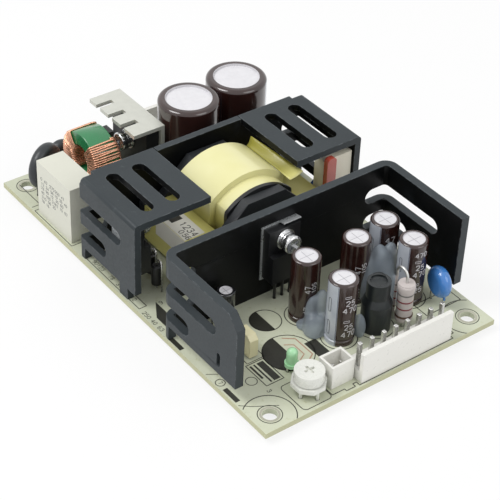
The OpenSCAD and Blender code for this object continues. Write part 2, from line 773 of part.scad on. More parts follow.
module bridge_rectifier() {
    y1 = bridge_sink_y - bridge_sink_t / 2 - seat_gap;
    color("#232323") difference() {
        union() {
            translate([bridge_at[0] - bridge_w / 2, y1 - bridge_t, top + bridge_lift])
                cube([bridge_w, bridge_t, bridge_h]);
            leads(bridge_leads, top + bridge_lift + 1);
        }
        translate([bridge_at[0], y1 + cut, bridge_screw_z]) rotate([90, 0, 0])
            cylinder(d = 3.4, h = bridge_t + 2 * cut);
    }
}

// Tinned plate: a wall beside the mains capacitor with a slotted top folded out from it
module bridge_heatsink() {
    t = bridge_sink_t;
    l = bridge_sink_x1 - bridge_sink_x0;
    color("#c9cac4") difference() {
        union() {
            translate([bridge_sink_x0, bridge_sink_y - t / 2, top]) cube([l, t, bridge_sink_top - top]);
            translate([bridge_sink_x0, bridge_sink_y + t / 2 - bridge_sink_w, bridge_sink_top - t])
                cube([l, bridge_sink_w, t]);
        }
        for (i = [0 : 2]) translate([bridge_sink_x0 + 3.7 + i * 6.3,
            bridge_sink_y + t / 2 - bridge_sink_w - cut, bridge_sink_top - t - cut])
            cube([1.9, 5 + cut, t + 2 * cut]);
        translate([bridge_at[0], bridge_sink_y + t, bridge_screw_z]) rotate([90, 0, 0])
            cylinder(d = 3.4, h = 2 * t);
    }
}

module bridge_screw() {
    y = bridge_sink_y - bridge_sink_t / 2 - seat_gap - bridge_t;
    color("#d8d8d6") translate([bridge_at[0], y, bridge_screw_z]) rotate([0, 0, -90])
        pan_screw(bridge_t + bridge_sink_t + seat_gap);
}

// ---- Headers ----

// Shrouded header with a plain wall along one long side; the wall faces +x
module header(x, y, n) {
    span = (n - 1) * header_pitch;
    l = span + header_near + header_far;
    translate([x, y - span / 2 - header_near, top]) difference() {
        union() {
            translate([-header_w / 2, 0, 0]) cube([header_w, l, header_base]);
            translate([header_w / 2 - header_wall, 0, 0]) cube([header_wall, l, header_h]);
        }
        for (i = [0 : n - 1]) translate([-post_w / 2, header_near + i * header_pitch - post_w / 2, -cut])
            cube([post_w, post_w, header_base + 2 * cut]);
    }
}

module output_header() {
    color("#f2f2ee") header(out_hdr_x, out_hdr_y, header_count);
}

module output_pins() {
    color("#cfd0cc") posts(out_hdr_leads, post_w, top + header_h + post_over);
}

module input_header() {
    color("#f2f2ee") mirror([1, 0, 0]) header(-in_hdr_x, in_hdr_y, 3);
}

module input_pins() {
    color("#cfd0cc") posts(in_hdr_leads, post_w, top + header_h - 2);
}

module signal_header() {
    x = sig_hdr_at[0];
    y = sig_hdr_at[1];
    color("#f0f0ea") translate([x, y, top]) difference() {
        translate([-3, -sig_hdr_l / 2, 0]) cube([5.8, sig_hdr_l, 7]);
        translate([-2.2, -2.9, 1.6]) cube([4.2, 5.8, 7]);
        for (s = [-1, 1]) translate([-sig_post_w / 2, s * sig_pitch / 2 - sig_post_w / 2, -cut])
            cube([sig_post_w, sig_post_w, 4]);
    }
}

module signal_pins() {
    color("#cfd0cc") posts(sig_hdr_leads, sig_post_w, top + 5.4);
}

// ---- Trimmer ----
trim_z = top + 2.6; // underside of its plate, which stands on three legs
trim_t = 1.2;
trim_d = 9.6; // across the corners of the plate
boss_d = 5.6;
boss_t = 1.6;
boss_floor = 0.6;
knob_gap = 0.3;
knob_hub_d = 3.4;
knob_z = trim_z + trim_t + knob_gap;
knob_t = 3.1;

module trimmer_body() {
    floor_z = trim_z - boss_t + boss_floor;
    color("#e9e9e2") {
        translate([trimmer_at[0], trimmer_at[1], 0]) difference() {
            union() {
                translate([0, 0, trim_z]) rotate([0, 0, 22.5]) cylinder(d = trim_d, h = trim_t, $fn = 8);
                translate([0, 0, trim_z - boss_t]) cylinder(d = boss_d, h = boss_t + trim_t / 2);
            }
            translate([0, 0, floor_z]) cylinder(d = knob_hub_d + 2 * knob_gap, h = knob_z);
        }
        leads(trimmer_leads, trim_z + trim_t / 2);
    }
}

module trimmer_rotor() {
    hub_z = trim_z - boss_t + boss_floor + knob_gap;
    color("#f4f4f0") translate([trimmer_at[0], trimmer_at[1], 0]) difference() {
        union() {
            translate([0, 0, knob_z]) cylinder(d = knob_d, h = knob_t);
            translate([0, 0, hub_z]) cylinder(d = knob_hub_d, h = knob_z - hub_z + cut);
        }
        for (a = [0, 90]) rotate([0, 0, a]) translate([-1.5, -0.4, knob_z + knob_t - 0.7]) cube([3, 0.8, 2]);
    }
}

// ---- Output side ----

module indicator_led() {
    color("#8fcf9a") {
        translate([led_at[0], led_at[1], top + led_lift]) {
            cylinder(d = 3.8, h = 1);
            cylinder(d = 3, h = 4);
            translate([0, 0, 4]) sphere(d = 3);
        }
        leads(led_leads, top + led_lift + 0.2);
    }
}

module output_capacitor(i) {
    p = out_cap_at[i];
    color("#3b2522") {
        translate([p[0], p[1], top]) can(out_cap_d, out_cap_h, 1);
        leads([out_cap_leads[2 * i], out_cap_leads[2 * i + 1]], top + 1);
    }
}

module output_capacitor_a() output_capacitor(0);

module output_capacitor_b() output_capacitor(1);

module output_capacitor_c() output_capacitor(2);

module output_capacitor_d() output_capacitor(3);

module output_capacitor_e() output_capacitor(4);

module auxiliary_capacitor() {
    color("#202020") {
        translate([small_cap_at[0], small_cap_at[1], top]) can(small_cap_d, small_cap_h, 0.8);
        leads(small_cap_leads, top + 1);
    }
}

module output_inductor() {
    color("#2c3134") {
        translate([inductor_at[0], inductor_at[1], top]) rotate_extrude() {
            square([inductor_d / 2, inductor_coil_h]);
            translate([0, inductor_coil_h])
                polygon([[0, 0], [inductor_d / 2, 0], [inductor_top_d / 2, 2], [0, 2]]);
            square([inductor_top_d / 2, inductor_h]);
            translate([inductor_top_d / 2 - 0.8, inductor_h - 0.6]) square([0.8, 1]);
        }
        leads(inductor_leads, top + 1);
    }
}

module load_resistor() {
    z0 = top + load_lift;
    z1 = z0 + load_l;
    color("#cfc9c4") translate([load_at[0], load_at[1], 0]) {
        translate([0, 0, z0]) rotate_extrude() {
            square([load_d / 2 - 0.25, load_l]);
            for (z = [1.3, load_l - 1.3]) {
                translate([0, z - 0.5]) square([load_d / 2, 1]);
                intersection() {
                    translate([load_d / 2 - 0.8, z - sign(load_l / 2 - z) * 0.5]) circle(0.8, $fn = 32);
                    square([load_d, load_l]);
                }
            }
        }
        translate([0, 0, z1 - cut]) cylinder(d = 0.8, h = 1.6 + cut, $fn = 24);
        translate([-load_back / 2, 0, z1 + 1.6]) rotate([90, 0, 0]) rotate_extrude(angle = 180, $fn = 48)
            translate([load_back / 2, 0]) circle(d = 0.8, $fn = 24);
    }
    color("#cfc9c4") {
        leads([load_leads[0]], z0 + 0.5);
        leads([load_leads[1]], z1 + 1.6);
    }
}

module disc_capacitor() {
    color("#4f86c9") {
        translate([blue_cap_at[0], blue_cap_at[1], top + 7.2]) rotate([0, 0, 80]) disc(9, 3.8);
        leads(blue_cap_leads, top + 4);
    }
}

module output_rectifier() {
    color("#262626") {
        translate([out_in_x + pad_t, rect_y, top + rect_lift]) package();
        package_leads(rect_leads, top + rect_lift);
    }
}

module output_rectifier_pad() {
    color("#b9bcc0") translate([out_in_x, rect_y, top + rect_lift]) {
        difference() {
            translate([0, -pkg_w / 2 - pad_margin, -1])
                cube([pad_t, pkg_w + 2 * pad_margin, pkg_tab_h + 1.5]);
            translate([-cut, 0, pkg_screw_z]) rotate([0, 90, 0]) cylinder(d = 3.4, h = 3);
        }
        translate([0.1, 0, pkg_tab_h + 0.5 - pad_t]) rotate([0, -12, 0])
            cube([pad_lip, pkg_w / 2 + pad_margin, pad_t]);
    }
}

module output_rectifier_screw() {
    color("#d8d8d6") translate([out_in_x + pad_t + pkg_tab_t, rect_y, top + rect_lift + pkg_screw_z])
        pan_screw(pad_t + pkg_tab_t);
}

module facing_y(x, y, z) translate([x, y, z]) rotate([0, 0, 90]) children();

module switching_transistor() {
    color("#262626") {
        facing_y(fet_x, pri_y0 + pri_sheet + pad_t, top + fet_lift) package();
        package_leads(fet_leads, top + fet_lift);
    }
}

module switching_transistor_pad() {
    color("#b9bcc0") facing_y(fet_x, pri_y0 + pri_sheet, top + fet_lift) difference() {
        translate([0, -pkg_w / 2 - 1, -1]) cube([pad_t, pkg_w + 2, pkg_tab_h + 1.2]);
        translate([-cut, 0, pkg_screw_z]) rotate([0, 90, 0]) cylinder(d = 3.4, h = 3);
    }
}

module switching_transistor_screw() {
    color("#d8d8d6") facing_y(fet_x, pri_y0 + pri_sheet + pad_t + pkg_tab_t, top + fet_lift + pkg_screw_z)
        pan_screw(pad_t + pkg_tab_t);
}

module film_capacitor() {
    color("#ece6cf") {
        translate([film_cap_at[0] - film_cap_size[0] / 2, film_cap_at[1] - film_cap_size[1] / 2, top])
            cube(film_cap_size);
        leads(film_cap_leads, top + 1);
    }
}

module snubber_capacitor() {
    color("#b8433c") {
        translate([red_cap_at[0] - red_cap_size[0] / 2, red_cap_at[1] - red_cap_size[1] / 2, top + red_cap_z])
            rotate([90, 0, 90]) linear_extrude(red_cap_size[0])
                round_rect(red_cap_size[1], red_cap_size[2], 1.2);
        leads(red_cap_leads, top + red_cap_z + 1);
    }
}

module safety_capacitor() {
    color("#3c63a8") {
        translate([y_cap_at[0], y_cap_at[1], top + 7.4]) disc(9, 2.8);
        leads(y_cap_leads, top + 4.5);
    }
}

module ceramic_capacitor() {
    color("#e8e2bd") {
        translate([ceramic_at[0], ceramic_at[1] + ceramic_t / 2, top + ceramic_lift]) rotate([90, 0, 0])
            linear_extrude(ceramic_t) slab_2d(ceramic_w, ceramic_h, ceramic_cut);
        leads(ceramic_leads, top + ceramic_lift + 1);
    }
}

// ---- Draw ----
circuit_board();
solder_joints();
primary_heatsink();
output_heatsink();
transformer_core();
transformer_bobbin();
transformer_winding();
transformer_tape();
transformer_pins();
mains_capacitor_a();
mains_capacitor_b();
mains_filter_capacitor();
choke_core();
choke_winding_rear();
choke_winding_front();
choke_base();
varistor();
thermistor();
fuse();
bridge_rectifier();
bridge_heatsink();
bridge_screw();
input_header();
input_pins();
output_header();
output_pins();
signal_header();
signal_pins();
trimmer_body();
trimmer_rotor();
indicator_led();
output_capacitor_a();
output_capacitor_b();
output_capacitor_c();
output_capacitor_d();
output_capacitor_e();
auxiliary_capacitor();
output_inductor();
load_resistor();
disc_capacitor();
output_rectifier();
output_rectifier_screw();
output_rectifier_pad();
switching_transistor();
switching_transistor_screw();
switching_transistor_pad();
film_capacitor();
snubber_capacitor();
safety_capacitor();
ceramic_capacitor();
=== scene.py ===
"""Looks of the open frame power supply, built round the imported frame."""
import bpy
import bmesh
import math
from mathutils import Matrix, Vector


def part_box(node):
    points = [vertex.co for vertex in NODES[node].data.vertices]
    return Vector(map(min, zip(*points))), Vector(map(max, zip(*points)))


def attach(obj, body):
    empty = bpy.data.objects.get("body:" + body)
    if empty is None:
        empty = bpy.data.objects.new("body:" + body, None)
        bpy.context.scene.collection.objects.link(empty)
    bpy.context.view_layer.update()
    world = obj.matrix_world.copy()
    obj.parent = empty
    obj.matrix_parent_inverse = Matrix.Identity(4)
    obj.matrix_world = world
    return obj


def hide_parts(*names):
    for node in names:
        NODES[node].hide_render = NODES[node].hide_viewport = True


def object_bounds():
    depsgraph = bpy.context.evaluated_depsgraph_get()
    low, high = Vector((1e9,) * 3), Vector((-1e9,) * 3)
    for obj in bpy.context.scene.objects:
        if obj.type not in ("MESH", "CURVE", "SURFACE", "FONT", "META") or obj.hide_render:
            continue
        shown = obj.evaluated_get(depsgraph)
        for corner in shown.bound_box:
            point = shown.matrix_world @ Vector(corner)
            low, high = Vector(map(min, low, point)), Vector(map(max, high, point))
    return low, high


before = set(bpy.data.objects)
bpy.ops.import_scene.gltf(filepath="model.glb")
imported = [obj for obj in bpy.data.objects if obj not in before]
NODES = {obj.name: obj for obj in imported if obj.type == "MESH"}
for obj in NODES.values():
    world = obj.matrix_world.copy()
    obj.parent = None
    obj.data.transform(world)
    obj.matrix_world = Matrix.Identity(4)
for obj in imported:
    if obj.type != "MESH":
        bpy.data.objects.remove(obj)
cad_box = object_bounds()
SCENE = bpy.context.scene
MM = 0.001
SCENE.view_settings.view_transform = "Standard"

# ---------------------------------------------------------------- camera
# The photograph's camera, fitted to the board's corners and holes and to the heatsinks' corners
CAM_AT = (284.48690 * MM, -218.80734 * MM, 278.91739 * MM)
CAM_ROT = (
    (0.59689351, -0.50103817, 0.62664096),
    (0.80161343, 0.33964112, -0.49199575),
    (0.03367561, 0.79599288, 0.60436851),
)
CAM_LENS = 117.11313
CAM_SHIFT = (-0.002046, -0.03167)

cam_data = bpy.data.cameras.new("camera")
cam_data.sensor_fit = "HORIZONTAL"
cam_data.sensor_width = 36.0
cam_data.lens = CAM_LENS
cam_data.shift_x, cam_data.shift_y = CAM_SHIFT
cam_data.clip_start = 0.02
cam_data.clip_end = 20.0
camera = bpy.data.objects.new("camera", cam_data)
camera.matrix_world = Matrix.Translation(CAM_AT) @ Matrix(CAM_ROT).to_4x4()
SCENE.collection.objects.link(camera)
SCENE.camera = camera


# ---------------------------------------------------------------- node helpers
def rgb(code):
    """Linear colour of a display colour such as d9dcc4."""
    out = []
    for i in (0, 2, 4):
        c = int(code[i:i + 2], 16) / 255
        out.append(c / 12.92 if c <= 0.04045 else ((c + 0.055) / 1.055) ** 2.4)
    return tuple(out) + (1.0,)


def tones(code, vary):
    """A colour made darker and lighter by the share vary."""
    base = rgb(code)[:3]
    dark = tuple(c * (1 - vary) for c in base) + (1.0,)
    light = tuple(min(1.0, c * (1 + vary)) for c in base) + (1.0,)
    return dark, light


WHITE = (1, 1, 1, 1)
BARE_LEAD = rgb("c4c5c2")


class Tree:
    """The nodes of a material or of the world."""

    def __init__(self, tree):
        self.tree = tree

    def put(self, node, values):
        """Links each value that is a socket to its input, and sets the others on theirs."""
        for key, value in values.items():
            socket = node.inputs[key]
            if isinstance(value, bpy.types.NodeSocket):
                self.tree.links.new(value, socket)
            else:
                socket.default_value = value

    def new(self, kind, values=None, **props):
        node = self.tree.nodes.new(kind)
        for key, value in props.items():
            setattr(node, key, value)
        self.put(node, values or {})
        return node

    def math(self, op, a, b=0.0, c=0.0):
        return self.new("ShaderNodeMath", {0: a, 1: b, 2: c}, operation=op).outputs[0]

    def both(self, *masks):
        out = masks[0]
        for mask in masks[1:]:
            out = self.math("MULTIPLY", out, mask)
        return out

    def any(self, *masks):
        out = masks[0]
        for mask in masks[1:]:
            out = self.math("MAXIMUM", out, mask)
        return out

    def seen(self):
        """1 for what the camera sees, also by reflection or through something clear."""
        path = self.new("ShaderNodeLightPath").outputs
        return self.any(path["Is Camera Ray"], path["Is Glossy Ray"], path["Is Transmission Ray"])


class Graph(Tree):
    """A material under construction. Sizes inside it are in metres, in the part's own frame."""

    def __init__(self, name, rough=0.5, metal=0.0, spec=0.5, coat=0.0, coat_rough=0.1):
        self.mat = bpy.data.materials.new(name)
        self.mat.use_nodes = True
        super().__init__(self.mat.node_tree)
        self.bsdf = self.tree.nodes["Principled BSDF"]
        self.put(self.bsdf, {"Roughness": rough, "Metallic": metal, "IOR": 1.5,
                             "Specular IOR Level": spec, "Coat Weight": coat,
                             "Coat Roughness": coat_rough})
        self.pos = self.new("ShaderNodeTexCoord").outputs["Object"]
        split = self.new("ShaderNodeSeparateXYZ", {"Vector": self.pos})
        self.x, self.y, self.z = split.outputs

    def near(self, value, middle, half):
        return self.math("COMPARE", value, middle, half)

    def above(self, value, low, high):
        """0 below low, 1 above high."""
        node = self.new("ShaderNodeMapRange", {"Value": value, "From Min": low, "From Max": high},
                        interpolation_type="SMOOTHSTEP")
        return node.outputs["Result"]

    def below(self, value, low, high):
        """1 below low, 0 above high."""
        return self.above(self.math("MULTIPLY", value, -1.0), -high, -low)

    def span(self, value, low, high, to_low, to_high):
        node = self.new("ShaderNodeMapRange", {"Value": value, "From Min": low, "From Max": high,
                                               "To Min": to_low, "To Max": to_high})
        return node.outputs["Result"]

    def noise(self, scale, detail=3.0, rough=0.5, stretch=None, distortion=0.0):
        vector = self.pos
        if stretch:
            vector = self.new("ShaderNodeMapping", {"Vector": self.pos, "Scale": stretch}).outputs[0]
        node = self.new("ShaderNodeTexNoise", {"Vector": vector, "Scale": scale, "Detail": detail,
                                               "Roughness": rough, "Distortion": distortion})
        return node.outputs["Fac"]

    def mix(self, fac, a, b):
        node = self.new("ShaderNodeMix", data_type="RGBA")
        self.put(node, {0: fac, 6: a, 7: b})
        return node.outputs[2]

    def mottle(self, scale, detail, code_a, code_b, rough=0.5):
        """Two colours mixed by noise."""
        return self.mix(self.noise(scale, detail, rough), rgb(code_a), rgb(code_b))

    def turn(self, cx, cy):
        """Angle about a vertical axis, -pi to pi."""
        return self.math("ARCTAN2", self.math("SUBTRACT", self.y, cy), self.math("SUBTRACT", self.x, cx))

    def radius(self, cx, cy):
        """Distance from a vertical axis."""
        flat = self.new("ShaderNodeCombineXYZ", {0: self.x, 1: self.y}).outputs[0]
        node = self.new("ShaderNodeVectorMath", {0: flat, 1: (cx, cy, 0)}, operation="DISTANCE")
        return node.outputs["Value"]

    def colour(self, value):
        self.put(self.bsdf, {"Base Color": value})

    def rough(self, value):
        self.put(self.bsdf, {"Roughness": value})

    def bump(self, height, distance, strength=1.0):
        """Adds relief on top of any that the material has."""
        node = self.new("ShaderNodeBump", {"Height": height, "Distance": distance, "Strength": strength})
        if self.bsdf.inputs["Normal"].is_linked:
            self.put(node, {"Normal": self.bsdf.inputs["Normal"].links[0].from_socket})
        self.put(self.bsdf, {"Normal": node.outputs[0]})

    def finish(self, colour, bare):
        """Colours the material, with bare metal where the mask bare is 1."""
        self.colour(self.mix(bare, colour, BARE_LEAD))
        self.put(self.bsdf, {"Metallic": bare})


def dress(material, *names, bevel=0.0):
    """Gives CAD nodes a material, and rounds their edges by bevel mm where asked."""
    for name in names:
        obj = NODES[name]
        obj.data.materials.clear()
        obj.data.materials.append(material)
        if bevel:
            weld = obj.modifiers.new("weld", "WELD")
            weld.merge_threshold = 1e-6
            mod = obj.modifiers.new("bevel", "BEVEL")
            mod.width = bevel * MM
            mod.segments = 2
            mod.limit_method = "ANGLE"
            mod.angle_limit = math.radians(40)
            mod.harden_normals = True


def plain(name, code, rough, metal=0.0, vary=0.08, grain=900.0, depth=0.02, **more):
    """A surface of one colour with slight variation in tone, gloss and level."""
    g = Graph(name, rough, metal, **more)
    g.colour(g.mix(g.noise(grain * 0.3), *tones(code, vary)))
    g.rough(g.span(g.noise(grain), 0.3, 0.7, max(0.05, rough - 0.06), min(1.0, rough + 0.06)))
    g.bump(g.noise(grain, 4.0), depth * MM)
    return g.mat


# ---------------------------------------------------------------- places from the CAD
def box_mm(node):
    low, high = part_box(node)
    return [c / MM for c in low], [c / MM for c in high]


def centre(node):
    """Middle of a node's box, in mm."""
    low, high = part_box(node)
    return [(a + b) / 2 / MM for a, b in zip(low, high)]


def half_size(node):
    low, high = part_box(node)
    return [(b - a) / 2 / MM for a, b in zip(low, high)]


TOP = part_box("circuit_board")[1][2]  # the board's upper face
X1, Y1, TOP_MM = box_mm("circuit_board")[1]
VIEW = math.radians(-37.6)  # the side of the part that the main picture looks at


# ---------------------------------------------------------------- printed marks
DIGIT_HEIGHT = 1.6
DIGIT_STEP = 1.45
DIGITS = {
    "0": [[(.5, 0), (.85, .15), (1, .5), (1, 1.1), (.85, 1.45), (.5, 1.6), (.15, 1.45), (0, 1.1), (0, .5),
           (.15, .15), (.5, 0)]],
    "1": [[(.2, 1.25), (.55, 1.6), (.55, 0)]],
    "2": [[(0, 1.2), (.15, 1.5), (.5, 1.6), (.85, 1.5), (1, 1.2), (.9, .9), (0, 0), (1, 0)]],
    "3": [[(0, 1.3), (.2, 1.55), (.5, 1.6), (.85, 1.5), (.95, 1.2), (.8, .92), (.45, .85)],
          [(.45, .85), (.8, .78), (1, .45), (.85, .1), (.5, 0), (.15, .08), (0, .35)]],
    "4": [[(.75, 0), (.75, 1.6), (0, .5), (1, .5)]],
    "5": [[(.9, 1.6), (.15, 1.6), (.05, .85), (.5, 1), (.9, .85), (1, .5), (.85, .12), (.45, 0), (0, .2)]],
    "6": [[(.85, 1.5), (.5, 1.6), (.15, 1.4), (0, .9), (0, .45), (.15, .1), (.5, 0), (.85, .1), (1, .45),
           (.85, .8), (.5, .92), (.15, .8), (0, .5)]],
    "7": [[(0, 1.6), (1, 1.6), (.4, 0)]],
    "8": [[(.5, .88), (.15, 1.05), (.08, 1.3), (.5, 1.6), (.92, 1.3), (.85, 1.05), (.5, .88), (.9, .65),
           (1, .35), (.5, 0), (0, .35), (.1, .65), (.5, .88)]],
    "9": [[(.15, .1), (.5, 0), (.85, .2), (1, .7), (1, 1.15), (.85, 1.5), (.5, 1.6), (.15, 1.5), (0, 1.15),
           (.15, .8), (.5, .68), (.85, .8), (1, 1.1)]],
}


def number(text, u, v, height, turn=0.0, weight=0.13):
    """Strokes of plain digits, their lower left corner at (u, v)."""
    size = height / DIGIT_HEIGHT
    out = []
    c, s = math.cos(math.radians(turn)), math.sin(math.radians(turn))
    for i, char in enumerate(text):
        for line in DIGITS.get(char, []):
            pts = [((x + i * DIGIT_STEP) * size, y * size) for x, y in line]
            out.append(([(u + x * c - y * s, v + x * s + y * c) for x, y in pts], height * weight))
    return out


def sector(cx, cy, r, start, end, n=24):
    """Points along an arc, its angles in degrees."""
    angles = [math.radians(start + (end - start) * i / n) for i in range(n + 1)]
    return [(cx + r * math.cos(a), cy + r * math.sin(a)) for a in angles]


def arc(cx, cy, r, start=0.0, end=360.0, width=0.25):
    return [(sector(cx, cy, r, start, end, max(6, int(abs(end - start) / 6))), width)]


def block(u0, v0, u1, v1):
    return [(u0, v0), (u1, v0), (u1, v1), (u0, v1)]


def outline(u0, v0, u1, v1, r=0.0, width=0.25):
    """A drawn rectangle, with rounded corners where r isn't 0."""
    pts = block(u0, v0, u1, v1)
    if r > 0:
        pts = []
        corners = ((u1 - r, v1 - r), (u0 + r, v1 - r), (u0 + r, v0 + r), (u1 - r, v0 + r))
        for i, (cx, cy) in enumerate(corners):
            pts += sector(cx, cy, r, 90 * i, 90 * i + 90, 6)
    return [(pts + pts[:1], width)]


def skin(bm, rows, closed=False):
    """Faces between neighbouring rows of corners; closed rows run round and are capped."""
    for a, b in zip(rows, rows[1:]):
        n = len(a)
        for k in range(n if closed else n - 1):
            bm.faces.new((a[k], a[(k + 1) % n], b[(k + 1) % n], b[k]))
    if closed:
        bm.faces.new(rows[0][::-1])
        bm.faces.new(rows[-1])


def finish_mesh(name, bm, material, solid=0.0, smooth=False):
    """Makes a piece of a mesh, solid mm thick if it is a sheet, and ties it to the part."""
    mesh = bpy.data.meshes.new(name)
    bm.to_mesh(mesh)
    bm.free()
    for poly in mesh.polygons:
        poly.use_smooth = smooth
    obj = bpy.data.objects.new(name, mesh)
    SCENE.collection.objects.link(obj)
    mesh.materials.append(material)
    if solid:
        mod = obj.modifiers.new("solid", "SOLIDIFY")
        mod.thickness = solid * MM
        mod.offset = 0
    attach(obj, "supply")
    return obj


INK_LIFT = 0.02
INK_THICK = 0.03
INK_STEP = 0.5  # a stroke bends to its surface at least this often


def printed(name, material, strokes, place, fills=()):
    """A thin printed mark on a surface; place(u, v) gives a point and its outward direction in mm."""
    bm = bmesh.new()

    def vert(u, v):
        point, out = place(u, v)
        return bm.verts.new([(p + o * INK_LIFT) * MM for p, o in zip(point, out)])

    for points, width in strokes:
        fine = [points[0]]
        for (ax, ay), (bx, by) in zip(points, points[1:]):
            n = max(1, math.ceil(math.hypot(bx - ax, by - ay) / INK_STEP))
            fine += [(ax + (bx - ax) * i / n, ay + (by - ay) * i / n) for i in range(1, n + 1)]
        closed = math.dist(fine[0], fine[-1]) < 1e-6
        rows = []
        for i, (x, y) in enumerate(fine):
            before = fine[i - 1] if i else (fine[-2] if closed else fine[0])
            after = fine[i + 1] if i + 1 < len(fine) else (fine[1] if closed else fine[-1])
            dx, dy = after[0] - before[0], after[1] - before[1]
            size = math.hypot(dx, dy) or 1.0
            nx, ny = -dy / size * width / 2, dx / size * width / 2
            rows.append((vert(x + nx, y + ny), vert(x - nx, y - ny)))
        skin(bm, rows)
    for points in fills:
        bm.faces.new([vert(x, y) for x, y in points])
    bmesh.ops.recalc_face_normals(bm, faces=bm.faces[:])
    finish_mesh(name, bm, material, solid=INK_THICK)


def round_place(cx, cy, r):
    """Surface of an upright cylinder in mm: u runs round it from the viewed side, v is the height."""
    def place(u, v):
        a = VIEW + u / r
        out = (math.cos(a), math.sin(a), 0)
        return (cx + r * out[0], cy + r * out[1], v), out
    return place


def flat_top(z):
    return lambda u, v: ((u, v, z), (0, 0, 1))


def circle(sides):
    return [2 * math.pi * k / sides for k in range(sides)]


def add_tube(bm, path, r, sides=8):
    """A round wire along a list of points in mm."""
    pts = [Vector(p) for p in path]
    normal = None
    rings = []
    for i, p in enumerate(pts):
        t = (pts[min(i + 1, len(pts) - 1)] - pts[max(i - 1, 0)]).normalized()
        if normal is None:
            normal = t.cross(Vector((0.31, 0.17, 0.93))).normalized()  # any direction off the path
        normal = (normal - t * normal.dot(t)).normalized()
        other = t.cross(normal)
        rings.append([bm.verts.new((p + (normal * math.cos(a) + other * math.sin(a)) * r) * MM)
                      for a in circle(sides)])
    skin(bm, rings, closed=True)


def tube(name, path, r, material):
    bm = bmesh.new()
    add_tube(bm, path, r)
    finish_mesh(name, bm, material, smooth=True)


# ---------------------------------------------------------------- materials
# Thickness of each heatsink's sheet, as in part.scad
SHEET_OUT = 2.5 * MM
SHEET_PRI = 2.0 * MM


def sheet_inside(g, node, sheet, framed):
    """1 on the inner faces of a folded heatsink; framed leaves its front edge out."""
    (x0, y0, _), (x1, y1, z1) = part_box(node)
    off, on = sheet - 0.2 * MM, sheet - 0.05 * MM
    masks = [g.above(g.x, x0 + off, x0 + on),
             g.above(g.y, y0 + off, y0 + on),
             g.below(g.y, y1 - on, y1 - off),
             g.below(g.z, z1 - 0.25 * MM, z1 - 0.02 * MM)]
    if framed:
        masks.append(g.below(g.x, x1 - 0.2 * MM, x1 - 0.02 * MM))
    return g.both(*masks)


def anodised():
    """Slate outside, with painted shade making the inner faces near black and painted highlights lightening
    edges in places.
    """
    g = Graph("black_anodised", 0.4, spec=0.18)
    inside = g.any(sheet_inside(g, "output_heatsink", SHEET_OUT, framed=False),
                   sheet_inside(g, "primary_heatsink", SHEET_PRI, framed=True))
    slate = g.mottle(90, 5.0, "32373a", "3d4346", 0.6)
    slate = g.mix(g.above(g.noise(420, 4.0, 0.7), 0.62, 0.8), slate, rgb("4b5154"))
    # Painted shade: the inner faces get a near-black colour because they lie in shade.
    black = g.mix(g.above(g.noise(120), 0.55, 0.8), rgb("070809"), rgb("1c1f22"))
    # Painted highlight: the edges and folds are lightened in places, as if they caught the light.
    edge = g.new("ShaderNodeBevel", {"Radius": 0.45 * MM}, samples=4).outputs[0]
    face = g.new("ShaderNodeNewGeometry").outputs["Normal"]
    same = g.new("ShaderNodeVectorMath", {0: edge, 1: face}, operation="DOT_PRODUCT").outputs["Value"]
    edge_glint = g.both(g.above(g.math("SUBTRACT", 1.0, same), 0.02, 0.2), g.above(g.noise(700), 0.42, 0.6))
    g.colour(g.mix(g.math("MULTIPLY", edge_glint, 0.55), g.mix(inside, slate, black), rgb("83888b")))
    g.rough(g.span(g.noise(1400, 2.0), 0.3, 0.7, 0.36, 0.48))
    g.bump(g.noise(2600, 2.0), 0.01 * MM)
    return g.mat


def sleeve(node, rim, stripe, dark="1e0f0d", light="381e19", width=36, score=True):
    """Shrink sleeve over a metal can.

    rim is how far the sleeve laps over the top, in mm. stripe is the pale stripe's angle from the
    viewed side and width is half its width, both in degrees. score cuts a cross into the top.
    """
    low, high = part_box(node)
    cx, cy = (low[0] + high[0]) / 2, (low[1] + high[1]) / 2
    r = (high[0] - low[0]) / 2
    lip = r - rim * MM
    g = Graph(node, 0.2, spec=0.5, coat=0.7, coat_rough=0.08)
    away = g.radius(cx, cy)
    silver = g.both(g.below(away, lip - 0.01 * MM, lip + 0.05 * MM),
                    g.above(g.z, high[2] - 0.1 * r - 0.3 * MM, high[2] - 0.1 * r - 0.15 * MM))
    around = g.math("SUBTRACT", g.turn(cx, cy), VIEW + math.radians(stripe))
    around = g.math("ARCTAN2", g.math("SINE", around), g.math("COSINE", around))
    half = math.radians(width)
    lines = g.any(g.near(around, half * 0.93, 0.03), g.near(around, -half * 0.93, 0.03))
    band = g.both(g.near(around, 0.0, half), g.below(g.z, high[2] - 0.1 * r, high[2] - 0.08 * r))
    pale = g.mix(lines, g.mottle(500, 3.0, "a9afba", "c3c8d0"), rgb("6f7382"))
    colour = g.mix(band, g.mottle(260, 3.0, dark, light), pale)
    top = g.mottle(700, 3.0, "d0cfd3", "e4e3e6")
    if score:
        cross = g.any(g.near(g.math("SUBTRACT", g.x, cx), 0.0, 0.09 * MM),
                      g.near(g.math("SUBTRACT", g.y, cy), 0.0, 0.09 * MM))
        reach = g.both(cross, g.near(away, 0.0, r * 0.6))
        # Painted shade: the score lines are darkened as if shade falls in the grooves.
        top = g.mix(g.math("MULTIPLY", reach, 0.7), top, rgb("8f8f96"))
        g.bump(g.both(reach, silver), 0.1 * MM, 0.6)
    g.finish(g.mix(silver, colour, top), g.below(g.z, TOP, TOP + 0.02 * MM))
    g.rough(g.mix(silver, (0.2, 0.2, 0.2, 1), (0.38, 0.38, 0.38, 1)))
    g.bump(g.noise(1300), 0.012 * MM)
    return g.mat


